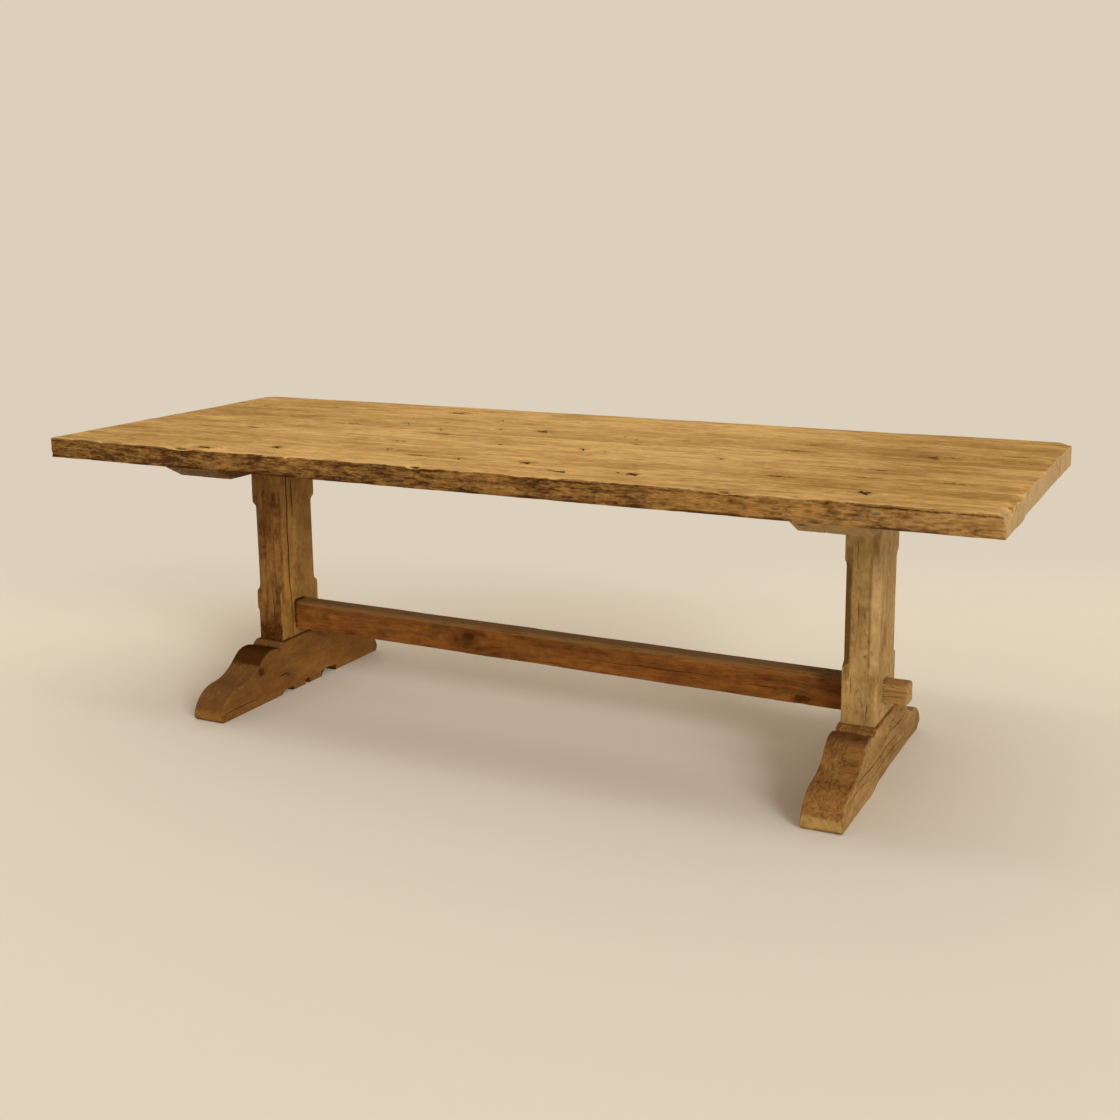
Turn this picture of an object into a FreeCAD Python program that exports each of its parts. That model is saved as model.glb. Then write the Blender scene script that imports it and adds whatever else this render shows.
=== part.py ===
import FreeCAD, Part
import math
import os

# Rustic trestle dining table in solid oak, in millimetres.
# The frame: +X runs along the table to the right, the front edge is toward -Y, the floor is Z = 0,
# and the origin lies on the floor under the middle of the top.
#
# Five edge-joined boards lie on two flat bearers. Each bearer sits on a post with stopped chamfers,
# each post stands in a foot with an ogee outline, and a stretcher passes through both posts.

# ---------------------------------------------------------------- driving dimensions

# Top
table_height = 765.0
top_length = 2470.0
top_thickness = 52.0
board_widths = [125.0, 148.0, 235.0, 221.0, 219.0]       # front board first
board_left_trims = [0.0, 2.0, 1.0, 3.0, 1.5]             # how far each board stops short on the left
board_right_trims = [1.0, 0.0, 5.0, 6.0, 5.0]            # and on the right
front_corner_radius = 9.0
back_left_corner_radius = 42.0
back_right_corner_radius = 25.0
arris_chamfer = 4.0

# Loose tongues between the boards
tongue_thickness = 10.0
tongue_width = 30.0
tongue_stop = 70.0                                       # distance kept from the ends of the top
tongue_side_clearance = 0.1
tongue_depth_clearance = 0.8

# Bearers, flat boards across the underside of the top
bearer_length = 770.0
bearer_width = 170.0
bearer_thickness = 52.0
bearer_bevel_length = 60.0
bearer_tip_thickness = 21.0
bearer_arris = 3.0

# Trestles, from the ends of the top to the middle of each post
overhang_left = 393.0
overhang_right = 381.0

# Posts
post_width = 84.0                                        # along X
post_depth = 175.0                                       # along Y
chamfer_leg = 17.0
chamfer_low_end = 283.0                                  # heights of the two chamfer stops
chamfer_high_end = 557.0
chamfer_stop_length = 28.0

# Feet
foot_width = 96.0
foot_height = 153.0
foot_half_length = 376.0
foot_right_turn = 0.3                                    # degrees that the right foot sits askew
pad_half_length = 97.0
quirk_place = 114.0                                      # the notch between the pad and the shoulder
quirk_height = 140.0
shoulder_crest_place = 157.0
shoulder_crest_height = 150.5
cove_start_place = 195.5
cove_start_height = 129.5
cove_middle_place = 238.0
cove_middle_height = 96.3
toe_start_place = 290.0
toe_start_height = 82.4
toe_middle_place = 342.8
toe_middle_height = 63.7
nose_top_height = 20.0                                   # the upright nose at the end of the toe
nose_base_height = 8.0
sole_half_length = 369.0                                 # the flat that bears on the floor

# Tenons of the posts into feet and bearers
post_tenon_thickness = 40.0
post_tenon_width = 120.0
foot_tenon_length = 88.0
tenon_clearance = 0.2                                    # on each cheek
tenon_end_gap = 2.0                                      # left below the foot tenon for glue
top_tenon_setback = 0.6                                  # the wedged tenon ends just under the boards

# Wedges in the top tenons
wedge_length = 42.0
wedge_thick_end = 6.0
wedge_thin_end = 1.5
wedge_inset = 22.0                                       # from the tenon's narrow edges
wedge_clearance = 0.1

# Stretcher and its through tenons
stretcher_thickness = 56.0
stretcher_top_left = 256.0                               # its top edge falls a little to the right
stretcher_top_right = 245.5
stretcher_depth_left = 78.0
stretcher_depth_right = 82.5
stretcher_wane = 9.0                                     # the bevel worn along its front top edge
stretcher_tenon_thickness = 45.0
stretcher_tenon_depth = 50.0
tenon_projection_left = 50.0
tenon_projection_right = 60.0
tenon_tip_chamfer = 4.0
mortise_side_gap = 0.7
mortise_top_gap = 2.5

# Pegs
peg_diameter = 12.0
peg_hole_clearance = 0.1
peg_proud = 1.5                                          # how far a peg's head stands out
peg_far_grip = 18.0                                      # how far it runs into the wood past the tenon
foot_peg_spacing = 70.0
foot_peg_drop = 46.0                                     # below the top of the foot

# Coach screws from the bearers up into the boards
screw_shank_length = 54.0
screw_shank_diameter = 8.0
screw_head_flats = 13.0                                  # across the flats of the hexagon
screw_head_height = 5.5
screw_seat_depth = 23.0                                  # head seat, below the underside of the top
screw_bore_diameter = 20.0
screw_hole_clearance = 0.1
screw_row_offset = 58.0                                  # each row from the middle of the bearer
screw_end_distance = 13.0
screw_joint_distance = 22.0                              # kept from the joints between boards

# ---------------------------------------------------------------- worked-out places

top_underside = table_height - top_thickness
bearer_underside = top_underside - bearer_thickness
top_width = sum(board_widths)
trestle_left_x = overhang_left - top_length / 2
trestle_right_x = top_length / 2 - overhang_right
tongue_height = top_underside + top_thickness / 2
foot_peg_height = foot_height - foot_peg_drop
screw_seat = top_underside - screw_seat_depth

board_edges = [-top_width / 2]
for width in board_widths:
    board_edges.append(board_edges[-1] + width)

# ---------------------------------------------------------------- small helpers


def block(x0, x1, y0, y1, z0, z1):
    """A box between two corners."""
    return Part.makeBox(x1 - x0, y1 - y0, z1 - z0, FreeCAD.Vector(x0, y0, z0))


def rod(diameter, length, base, direction):
    """A round bar from a base point."""
    return Part.makeCylinder(diameter / 2, length, base, direction)


def sided_bar(sides, across_flats, length, base, direction):
    """A straight bar with an even number of flat sides, from a base point."""
    radius = across_flats / 2 / math.cos(math.pi / sides)
    points = []
    for k in range(sides):
        turn = 2 * math.pi * (k + 0.5) / sides
        points.append(FreeCAD.Vector(radius * math.cos(turn), radius * math.sin(turn), 0))
    bar = extruded(points, FreeCAD.Vector(0, 0, length))
    bar.Placement = FreeCAD.Placement(base, FreeCAD.Rotation(FreeCAD.Vector(0, 0, 1), direction))
    return bar


def extruded(points, along):
    """A prism on a polygon."""
    face = Part.Face(Part.makePolygon(points + [points[0]]))
    return face.extrude(along)


def save(name, solids):
    """Writes one node: a single solid, or a group of like ones."""
    shape = solids[0] if len(solids) == 1 else Part.makeCompound(solids)
    shape.exportStep("parts/" + name + ".step")


# ---------------------------------------------------------------- screws


def screw_places(x):
    """Where screws go up from the bearer at x: one in each board that it reaches, in two rows."""
    reach = bearer_length / 2 - screw_end_distance
    places = []
    for i in range(len(board_widths)):
        low = max(board_edges[i] + screw_joint_distance, -reach)
        high = min(board_edges[i + 1] - screw_joint_distance, reach)
        if low > high:
            continue
        row = -1 if i % 2 == 0 else 1
        places.append(FreeCAD.Vector(x + row * screw_row_offset, (low + high) / 2, screw_seat))
    return places


def screw(place):
    """A coach screw, its six-sided head down, seated at the given place."""
    up = FreeCAD.Vector(0, 0, 1)
    head = sided_bar(6, screw_head_flats, screw_head_height, place - up * screw_head_height, up)
    return head.fuse(rod(screw_shank_diameter, screw_shank_length, place, up))


def screw_hole(place):
    """The hole for a shank, long enough for the bearer and the board."""
    diameter = screw_shank_diameter + 2 * screw_hole_clearance
    return rod(diameter, screw_shank_length + screw_hole_clearance, place, FreeCAD.Vector(0, 0, 1))


def screw_bore(place):
    """The bore below a screw's seat, open to the underside of the bearer."""
    base = FreeCAD.Vector(place.x, place.y, bearer_underside)
    return rod(screw_bore_diameter, place.z - bearer_underside, base, FreeCAD.Vector(0, 0, 1))


# ---------------------------------------------------------------- top


def top_board(i):
    """One board of the top, with its outer corners rounded, arrises eased and edges grooved."""
    x0 = -top_length / 2 + board_left_trims[i]
    x1 = top_length / 2 - board_right_trims[i]
    y0 = board_edges[i]
    y1 = board_edges[i + 1]
    first = i == 0
    last = i == len(board_widths) - 1
    board = block(x0, x1, y0, y1, top_underside, table_height)
    corners = []
    if first:
        corners += [(x0, y0, front_corner_radius), (x1, y0, front_corner_radius)]
    if last:
        corners += [(x0, y1, back_left_corner_radius), (x1, y1, back_right_corner_radius)]
    for x, y, radius in corners:
        board = board.makeFillet(radius, [upright_edge(board, x, y)])
    arrises = outer_arrises(board, None if first else y0, None if last else y1)
    board = board.makeChamfer(min(arris_chamfer, 0.8 * front_corner_radius), arrises)
    if not first:
        board = board.cut(tongue_groove(y0))
    if not last:
        board = board.cut(tongue_groove(y1))
    for x in (trestle_left_x, trestle_right_x):
        for place in screw_places(x):
            if y0 < place.y < y1:
                board = board.cut(screw_hole(place))
    return board


def upright_edge(solid, x, y):
    """The vertical edge of a solid at a corner in plan."""
    for edge in solid.Edges:
        middle = edge.CenterOfMass
        if abs(middle.x - x) < 0.01 and abs(middle.y - y) < 0.01:
            return edge
    raise ValueError("no upright edge there")


def outer_arrises(board, joint_low, joint_high):
    """The top and bottom edges of a board, apart from those that meet a neighbour."""
    arrises = []
    for edge in board.Edges:
        box = edge.BoundBox
        level = box.ZLength < 0.01
        at_joint = False
        for joint in (joint_low, joint_high):
            if joint is not None and abs(box.YMin - joint) < 0.01 and abs(box.YMax - joint) < 0.01:
                at_joint = True
        if level and not at_joint:
            arrises.append(edge)
    return arrises


def tongue_groove(joint):
    """The room for the tongue at a joint, cut half into each of its two boards."""
    reach = tongue_width / 2 + tongue_depth_clearance
    half = tongue_thickness / 2 + tongue_side_clearance
    end = top_length / 2 - tongue_stop
    return block(-end, end, joint - reach, joint + reach, tongue_height - half, tongue_height + half)


def loose_tongue(joint):
    """The strip of wood let into two boards to line them up."""
    reach = tongue_width / 2
    half = tongue_thickness / 2
    end = top_length / 2 - tongue_stop - tongue_depth_clearance
    return block(-end, end, joint - reach, joint + reach, tongue_height - half, tongue_height + half)


# ---------------------------------------------------------------- bearers


def bearer(x):
    """The flat bearer on a post, thinned toward its ends, with the mortise for the wedged tenon."""
    half = bearer_length / 2
    flat = half - bearer_bevel_length
    tip = top_underside - bearer_tip_thickness
    left = x - bearer_width / 2
    outline = [
        (-half, top_underside),
        (half, top_underside),
        (half, tip),
        (flat, bearer_underside),
        (-flat, bearer_underside),
        (-half, tip),
    ]
    points = [FreeCAD.Vector(left, y, z) for y, z in outline]
    body = extruded(points, FreeCAD.Vector(bearer_width, 0, 0))
    long_arrises = []
    for edge in body.Edges:
        box = edge.BoundBox
        if box.XLength < 0.01 and box.ZMin < tip + 0.01 and box.YLength > 0.01:
            long_arrises.append(edge)
    body = body.makeChamfer(bearer_arris, long_arrises)
    half_x = post_tenon_thickness / 2 + tenon_clearance
    half_y = post_tenon_width / 2 + tenon_clearance
    body = body.cut(block(x - half_x, x + half_x, -half_y, half_y, bearer_underside, top_underside))
    for place in screw_places(x):
        body = body.cut(screw_bore(place))
        body = body.cut(screw_hole(place))
    return body


# ---------------------------------------------------------------- posts


def stopped_chamfer(x, y, side_x, side_y):
    """The cutter for one corner's chamfer, run out at both ends in a lamb's tongue.

    Its outline is drawn in the upright plane through the corner's diagonal. Each stop is an S of
    two equal arcs, which starts a little outside the corner and ends at the chamfer's full depth.
    """
    outward = FreeCAD.Vector(side_x, side_y, 0).normalize()
    across = FreeCAD.Vector(-outward.y, outward.x, 0)
    corner = FreeCAD.Vector(x, y, 0)
    clear = 1.0
    full = chamfer_leg / math.sqrt(2)

    def at(out, z):
        return corner + outward * out + FreeCAD.Vector(0, 0, z)

    def stop(z_outer, toward):
        """The two arcs of one stop, from the corner in to the full depth."""
        depth = full + clear
        length = chamfer_stop_length
        radius = (length * length + depth * depth) / (4 * depth)
        half_sweep = math.asin(length / 2 / radius) / 2
        swing_out = radius * (1 - math.cos(half_sweep))
        swing_along = radius * math.sin(half_sweep)
        start = at(clear, z_outer)
        early = at(clear - swing_out, z_outer + toward * swing_along)
        middle = at(clear - depth / 2, z_outer + toward * length / 2)
        late = at(swing_out - full, z_outer + toward * (length - swing_along))
        end = at(-full, z_outer + toward * length)
        return [Part.Arc(start, early, middle).toShape(), Part.Arc(middle, late, end).toShape()]

    low = stop(chamfer_low_end, 1)
    high = stop(chamfer_high_end, -1)
    run = Part.makeLine(
        at(-full, chamfer_low_end + chamfer_stop_length), at(-full, chamfer_high_end - chamfer_stop_length)
    )
    back = Part.makePolygon(
        [
            at(clear, chamfer_low_end),
            at(chamfer_leg, chamfer_low_end),
            at(chamfer_leg, chamfer_high_end),
            at(clear, chamfer_high_end),
        ]
    )
    wire = Part.Wire(Part.__sortEdges__(low + high + [run] + back.Edges))
    face = Part.Face(wire)
    face.translate(across * -2 * chamfer_leg)
    return face.extrude(across * 4 * chamfer_leg)


def tenon_top(x):
    """The height of the top of the stretcher's tenon in the post at x."""
    return stretcher_top_left if x < 0 else stretcher_top_right


def post(x):
    """A post with its foot tenon, wedged top tenon, four stopped chamfers and stretcher mortise."""
    half_x = post_width / 2
    half_y = post_depth / 2
    body = block(x - half_x, x + half_x, -half_y, half_y, foot_height, bearer_underside)
    for side_x in (-1, 1):
        for side_y in (-1, 1):
            body = body.cut(stopped_chamfer(x + side_x * half_x, side_y * half_y, side_x, side_y))
    tenon_x = post_tenon_thickness / 2
    tenon_y = post_tenon_width / 2
    foot_tenon = block(
        x - tenon_x, x + tenon_x, -tenon_y, tenon_y, foot_height - foot_tenon_length, foot_height
    )
    top_tenon = block(
        x - tenon_x, x + tenon_x, -tenon_y, tenon_y, bearer_underside, top_underside - top_tenon_setback
    )
    body = body.fuse(foot_tenon).fuse(top_tenon)
    mortise_y = stretcher_tenon_thickness / 2 + mortise_side_gap
    body = body.cut(
        block(
            x - half_x,
            x + half_x,
            -mortise_y,
            mortise_y,
            tenon_top(x) - stretcher_tenon_depth,
            tenon_top(x) + mortise_top_gap,
        )
    )
    foot_runs, stretcher_runs = peg_axes(x)
    body = drill(body, foot_runs + stretcher_runs)
    for wedge in top_wedges(x, wedge_clearance):
        body = body.cut(wedge)
    return body.removeSplitter()


def top_wedges(x, grow):
    """The two wedges that spread a top tenon, or with grow the slots that they go in."""
    wedges = []
    top = top_underside - top_tenon_setback
    half_x = post_tenon_thickness / 2
    for side in (-1, 1):
        y = side * (post_tenon_width / 2 - wedge_inset)
        thick = wedge_thick_end / 2 + grow
        thin = wedge_thin_end / 2 + grow
        bottom = top - wedge_length - grow
        outline = [(y - thick, top), (y + thick, top), (y + thin, bottom), (y - thin, bottom)]
        points = [FreeCAD.Vector(x - half_x, across, z) for across, z in outline]
        wedges.append(extruded(points, FreeCAD.Vector(2 * half_x, 0, 0)))
    return wedges


# ---------------------------------------------------------------- feet


def foot_outline():
    """The closed outline of a foot in the YZ plane, one half mirrored to the other.

    From the pad it drops to a quirk, rolls over the shoulder, runs down through the cove and
    rolls over the toe to an upright nose. These three curves are arcs that meet in line.
    """

    def half(side):
        def at(place, height):
            return FreeCAD.Vector(0, side * place, height)

        pad_edge = at(pad_half_length, foot_height)
        quirk = at(quirk_place, quirk_height)
        crest = at(shoulder_crest_place, shoulder_crest_height)
        cove_start = at(cove_start_place, cove_start_height)
        cove_middle = at(cove_middle_place, cove_middle_height)
        toe_start = at(toe_start_place, toe_start_height)
        toe_middle = at(toe_middle_place, toe_middle_height)
        nose_top = at(foot_half_length, nose_top_height)
        nose_base = at(foot_half_length, nose_base_height)
        sole_end = at(sole_half_length, 0)
        return [
            Part.makeLine(pad_edge, quirk),
            Part.Arc(quirk, crest, cove_start).toShape(),
            Part.Arc(cove_start, cove_middle, toe_start).toShape(),
            Part.Arc(toe_start, toe_middle, nose_top).toShape(),
            Part.makeLine(nose_top, nose_base),
            Part.makeLine(nose_base, sole_end),
        ]

    pad = Part.makeLine(
        FreeCAD.Vector(0, -pad_half_length, foot_height), FreeCAD.Vector(0, pad_half_length, foot_height)
    )
    sole = Part.makeLine(FreeCAD.Vector(0, -sole_half_length, 0), FreeCAD.Vector(0, sole_half_length, 0))
    return Part.Wire(Part.__sortEdges__([pad, sole] + half(-1) + half(1)))


def foot(x, turn):
    """A foot at x, turned by an angle about its post, with a blind mortise and peg holes."""
    up = FreeCAD.Vector(0, 0, 1)
    body = Part.Face(foot_outline()).extrude(FreeCAD.Vector(foot_width, 0, 0))
    body.translate(FreeCAD.Vector(x - foot_width / 2, 0, 0))
    body.rotate(FreeCAD.Vector(x, 0, 0), up, turn)
    half_x = post_tenon_thickness / 2 + tenon_clearance
    half_y = post_tenon_width / 2 + tenon_clearance
    floor = foot_height - foot_tenon_length - tenon_end_gap
    body = body.cut(block(x - half_x, x + half_x, -half_y, half_y, floor, foot_height))
    foot_runs, _ = peg_axes(x)
    return drill(body, foot_runs)


# ---------------------------------------------------------------- pegs


def peg_axes(x):
    """The run of each peg in the trestle at x: its start outside the wood, and its way in and length.

    The foot's pegs are driven from its -X side and stop inside the far cheek. The stretcher's peg
    is driven from the back of the post and stops inside its front half.
    """
    foot_run = peg_proud + foot_width / 2 + post_tenon_thickness / 2 + peg_far_grip
    stretcher_run = peg_proud + post_depth / 2 + stretcher_tenon_thickness / 2 + peg_far_grip
    into_foot = FreeCAD.Vector(1, 0, 0)
    into_post = FreeCAD.Vector(0, -1, 0)
    start_x = x - foot_width / 2 - peg_proud
    foot_runs = []
    for side in (-1, 1):
        start = FreeCAD.Vector(start_x, side * foot_peg_spacing / 2, foot_peg_height)
        foot_runs.append((start, into_foot, foot_run))
    peg_height = tenon_top(x) - stretcher_tenon_depth / 2
    start = FreeCAD.Vector(x, post_depth / 2 + peg_proud, peg_height)
    return foot_runs, [(start, into_post, stretcher_run)]


def pegs(runs):
    """Riven eight-sided pegs, as wide across the corners as the drill that made their holes."""
    flats = peg_diameter * math.cos(math.pi / 8)
    return [sided_bar(8, flats, length, start, way) for start, way, length in runs]


def drill(body, runs):
    """A body with the round blind holes for these pegs."""
    for start, way, length in runs:
        hole = rod(peg_diameter + 2 * peg_hole_clearance, length + peg_hole_clearance, start, way)
        body = body.cut(hole)
    return body


# ---------------------------------------------------------------- stretcher


def stretcher():
    """The stretcher, which falls to the right, with a shouldered tenon at each end.

    Its front top edge is worn to a bevel between the posts.
    """
    left_shoulder = trestle_left_x + post_width / 2
    right_shoulder = trestle_right_x - post_width / 2
    half = stretcher_thickness / 2
    outline = [
        (left_shoulder, stretcher_top_left),
        (right_shoulder, stretcher_top_right),
        (right_shoulder, stretcher_top_right - stretcher_depth_right),
        (left_shoulder, stretcher_top_left - stretcher_depth_left),
    ]
    points = [FreeCAD.Vector(x, -half, z) for x, z in outline]
    body = extruded(points, FreeCAD.Vector(0, stretcher_thickness, 0))
    middle_top = (stretcher_top_left + stretcher_top_right) / 2
    worn = []
    for edge in body.Edges:
        middle = edge.CenterOfMass
        if abs(middle.y + half) < 0.01 and abs(middle.z - middle_top) < 0.01:
            worn.append(edge)
    body = body.makeChamfer(stretcher_wane, worn)
    left_tip = left_shoulder - post_width - tenon_projection_left
    right_tip = right_shoulder + post_width + tenon_projection_right
    tenon_half = stretcher_tenon_thickness / 2
    for shoulder, tip in ((left_shoulder, left_tip), (right_shoulder, right_tip)):
        top = tenon_top(tip)
        tenon = block(
            min(shoulder, tip), max(shoulder, tip), -tenon_half, tenon_half, top - stretcher_tenon_depth, top
        )
        rim = []
        for edge in tenon.Edges:
            if edge.BoundBox.XLength < 0.01 and abs(edge.CenterOfMass.x - tip) < 0.01:
                rim.append(edge)
        body = body.fuse(tenon.makeChamfer(tenon_tip_chamfer, rim))
    for x in (trestle_left_x, trestle_right_x):
        _, stretcher_runs = peg_axes(x)
        body = drill(body, stretcher_runs)
    return body.removeSplitter()


# ---------------------------------------------------------------- the table

os.makedirs("parts", exist_ok=True)

for number in range(len(board_widths)):
    save("top_board_" + str(number + 1), [top_board(number)])

for number in range(1, len(board_widths)):
    save("top_tongue_" + str(number), [loose_tongue(board_edges[number])])

trestles = (("left", trestle_left_x, 0.0), ("right", trestle_right_x, foot_right_turn))
for side, x, turn in trestles:
    save("bearer_" + side, [bearer(x)])
    save("post_" + side, [post(x)])
    save("foot_" + side, [foot(x, turn)])
    foot_runs, stretcher_runs = peg_axes(x)
    save("foot_pegs_" + side, pegs(foot_runs))
    save("stretcher_peg_" + side, pegs(stretcher_runs))
    save("bearer_wedges_" + side, top_wedges(x, 0.0))
    save("bearer_screws_" + side, [screw(place) for place in screw_places(x)])

save("stretcher", [stretcher()])
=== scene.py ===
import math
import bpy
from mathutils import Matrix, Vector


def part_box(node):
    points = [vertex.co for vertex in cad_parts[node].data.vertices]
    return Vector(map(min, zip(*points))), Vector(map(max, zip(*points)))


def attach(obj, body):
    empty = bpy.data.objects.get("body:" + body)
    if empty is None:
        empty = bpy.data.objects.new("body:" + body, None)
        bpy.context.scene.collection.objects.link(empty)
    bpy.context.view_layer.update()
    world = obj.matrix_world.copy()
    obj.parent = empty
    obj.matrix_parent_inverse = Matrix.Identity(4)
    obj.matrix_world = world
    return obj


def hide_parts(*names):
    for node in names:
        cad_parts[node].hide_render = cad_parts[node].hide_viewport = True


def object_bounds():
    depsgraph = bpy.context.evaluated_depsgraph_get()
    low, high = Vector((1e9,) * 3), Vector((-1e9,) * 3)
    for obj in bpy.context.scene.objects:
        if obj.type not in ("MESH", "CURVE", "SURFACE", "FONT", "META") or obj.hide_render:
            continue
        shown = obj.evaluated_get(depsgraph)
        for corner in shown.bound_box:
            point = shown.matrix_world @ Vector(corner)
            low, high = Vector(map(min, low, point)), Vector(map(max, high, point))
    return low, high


bl_info = {
    "name": "Rustic Trestle Table",
    "version": (1, 0, 0),
    "blender": (4, 5, 0),
    "location": "3D View > Sidebar > Table",
    "description": "Finishes a trestle dining table in weathered oak and lights it on a pale floor",
    "category": "Object",
}

import bmesh
import bpy
import numpy as np
from mathutils import Matrix, Vector, noise

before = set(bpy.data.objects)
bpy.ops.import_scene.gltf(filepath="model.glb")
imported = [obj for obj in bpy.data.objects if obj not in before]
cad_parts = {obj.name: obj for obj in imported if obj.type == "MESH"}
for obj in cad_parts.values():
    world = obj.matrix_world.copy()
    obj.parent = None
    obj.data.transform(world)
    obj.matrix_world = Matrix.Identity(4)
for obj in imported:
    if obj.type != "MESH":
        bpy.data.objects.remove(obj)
cad_low, cad_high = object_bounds()

BOARDS = ["top_board_" + str(k) for k in range(1, 6)]
TONGUES = ["top_tongue_" + str(k) for k in range(1, 5)]
SIDES = ("left", "right")
ROOT = "root"


# ---------------------------------------------------------------- settings


def length(name, description, default):
    """A size in metres."""
    return bpy.props.FloatProperty(
        name=name, description=description, default=default,
        min=0.0, subtype="DISTANCE", unit="LENGTH",
    )


def colour(name, description, *shown):
    """A colour, given by the 0 to 255 values that a screen shows and kept as linear ones."""
    return bpy.props.FloatVectorProperty(
        name=name, description=description, size=3, min=0.0, max=1.0, subtype="COLOR",
        default=tuple(((value / 255 + 0.055) / 1.055) ** 2.4 for value in shown),
    )


class TableWear(bpy.types.PropertyGroup):
    """Sizes of the wear and of the hand work on the oak."""

    front_arris: length("Front arris", "Rounding of the worn front edge of the top", 0.0032)
    end_arris: length("End arris", "Rounding at the ends and back of the top", 0.0028)
    under_arris: length("Lower arris", "Rounding of the lower edges of the top", 0.0016)
    joint_arris: length("Joint arris", "Easing of the boards where they meet", 0.0007)
    front_corner: length("Front corners", "Corner radius at the front of the top", 0.006)
    back_left_corner: length("Back left corner", "Its radius on the top", 0.042)
    back_right_corner: length("Back right corner", "Its radius on the top", 0.034)
    edge_waves: length("Edge waves", "How far the front edge has worn down in places", 0.0045)
    end_waves: length("End waves", "How far the boards' ends have worn back in places", 0.0015)
    board_cell: length("Board cell", "Length of the mesh cells along a board", 0.008)
    front_cell: length("Front board cell", "Length of the cells along the front board", 0.0050)
    timber_cell: length("Timber cell", "Mesh cells of the trestles and stretcher", 0.0027)
    bearer_cell: length("Bearer cell", "Mesh cells of the bearers", 0.003)
    hollows: length("Hollows", "Depth of the hollows left by hand tools and use", 0.0013)
    ridges: length("Ridges", "Depth of the weathered grain", 0.0005)
    knot_sink: length("Knot sink", "How far the knots lie below the surface", 0.0014)
    crack_sink: length("Crack sink", "Depth of the open cracks", 0.0030)


class TableColours(bpy.types.PropertyGroup):
    """Colours of the oak, the steel and the floor."""

    top_light: colour("Top, light", "Pale grain of the top", 216, 170, 98)
    top_dark: colour("Top, dark", "Dark grain of the top", 154, 110, 44)
    edge_light: colour("Edge, light", "Pale streaks of the rough front edge", 160, 114, 54)
    edge_dark: colour("Edge, dark", "Dark streaks of the rough front edge", 66, 36, 7)
    end_light: colour("End grain", "Sawn ends of the boards", 166, 139, 100)
    worn: colour("Worn arrises", "Bleached wood on the worn arrises", 222, 186, 134)
    # The left post's and left foot's colours are darker than the right ones: partly their wood,
    # partly painted shade for light that falls off towards the left.
    post_right_light: colour("Right post, light", "Pale grain", 180, 143, 86)
    post_right_dark: colour("Right post, dark", "Dark grain", 122, 89, 44)
    post_left_light: colour("Left post, light", "Pale grain", 168, 122, 60)
    post_left_dark: colour("Left post, dark", "Dark grain", 88, 50, 12)
    foot_right_light: colour("Right foot, light", "Pale grain", 170, 131, 74)
    foot_right_dark: colour("Right foot, dark", "Dark grain", 112, 77, 34)
    foot_left_light: colour("Left foot, light", "Pale grain", 138, 92, 38)
    foot_left_dark: colour("Left foot, dark", "Dark grain", 82, 48, 14)
    foot_top_light: colour("Top of feet, light", "Worn tops of the feet", 160, 112, 54)
    foot_top_dark: colour("Top of feet, dark", "Dirt on the tops of the feet", 106, 68, 30)
    stretcher_light: colour("Stretcher, light", "Pale reddish grain", 142, 86, 31)
    stretcher_dark: colour("Stretcher, dark", "Dark reddish grain", 82, 43, 8)
    stretcher_top: colour("Stretcher, top", "Dusty top of the stretcher", 124, 88, 46)
    bearer_light: colour("Bearer, light", "Pale grain of the bearers", 184, 148, 94)
    bearer_dark: colour("Bearer, dark", "Dark grain of the bearers", 86, 54, 20)
    peg_light: colour("Pegs, light", "Riven faces of the pegs and wedges", 168, 122, 72)
    peg_dark: colour("Pegs, dark", "Dark grain of the pegs and wedges", 110, 74, 38)
    # The dirt colour also paints shade, where the soil mark lays it in joints, under the front
    # arris and round the gaps under the left foot.
    dirt: colour("Dirt", "Dirt in the pores, knots and joints", 58, 30, 6)
    crack: colour("Cracks", "The dark inside of the cracks", 46, 22, 3)
    steel: colour("Steel", "Dull steel of the coach screws", 112, 94, 72)
    rust: colour("Rust", "Rust on the coach screws", 122, 84, 48)
    floor: colour("Floor", "Pale studio floor", 229, 219, 203)
    backdrop: colour("Backdrop", "Pale studio backdrop", 220, 208, 188)


# ---------------------------------------------------------------- knots, cracks and chips

# Knots on the face of the top: place along the table, place across it, radius, and how dark.
TOP_KNOTS = [
    (-0.580, -0.360, 0.018, 1.0), (-0.750, -0.430, 0.026, 0.8), (0.232, -0.388, 0.018, 1.0),
    (0.397, -0.357, 0.019, 1.0), (0.925, -0.364, 0.021, 1.0), (-0.065, -0.335, 0.012, 0.7),
    (0.105, -0.315, 0.020, 0.9), (0.465, -0.335, 0.009, 0.6), (-0.305, -0.275, 0.012, 0.7),
    (0.507, -0.085, 0.013, 0.6), (0.147, -0.090, 0.014, 0.8), (0.210, -0.095, 0.009, 0.7),
    (-0.355, -0.150, 0.013, 0.6), (-0.750, -0.020, 0.014, 0.5), (0.958, 0.128, 0.026, 0.7),
    (1.003, 0.140, 0.012, 0.8), (0.160, 0.135, 0.010, 0.6), (0.205, 0.105, 0.009, 0.6),
    (0.325, 0.130, 0.015, 0.7), (0.650, 0.190, 0.015, 0.6), (-0.080, 0.140, 0.026, 0.8),
    (-0.205, 0.130, 0.012, 0.6), (-0.355, 0.065, 0.017, 0.7), (-0.495, 0.125, 0.018, 0.5),
    (-0.400, 0.178, 0.014, 0.5), (-0.470, 0.362, 0.026, 0.8), (0.910, 0.268, 0.012, 0.6),
    (-0.275, 0.270, 0.018, 0.6), (-1.105, 0.275, 0.014, 0.5), (0.345, 0.408, 0.010, 0.6),
    (-0.120, 0.440, 0.015, 0.6),
]

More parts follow.
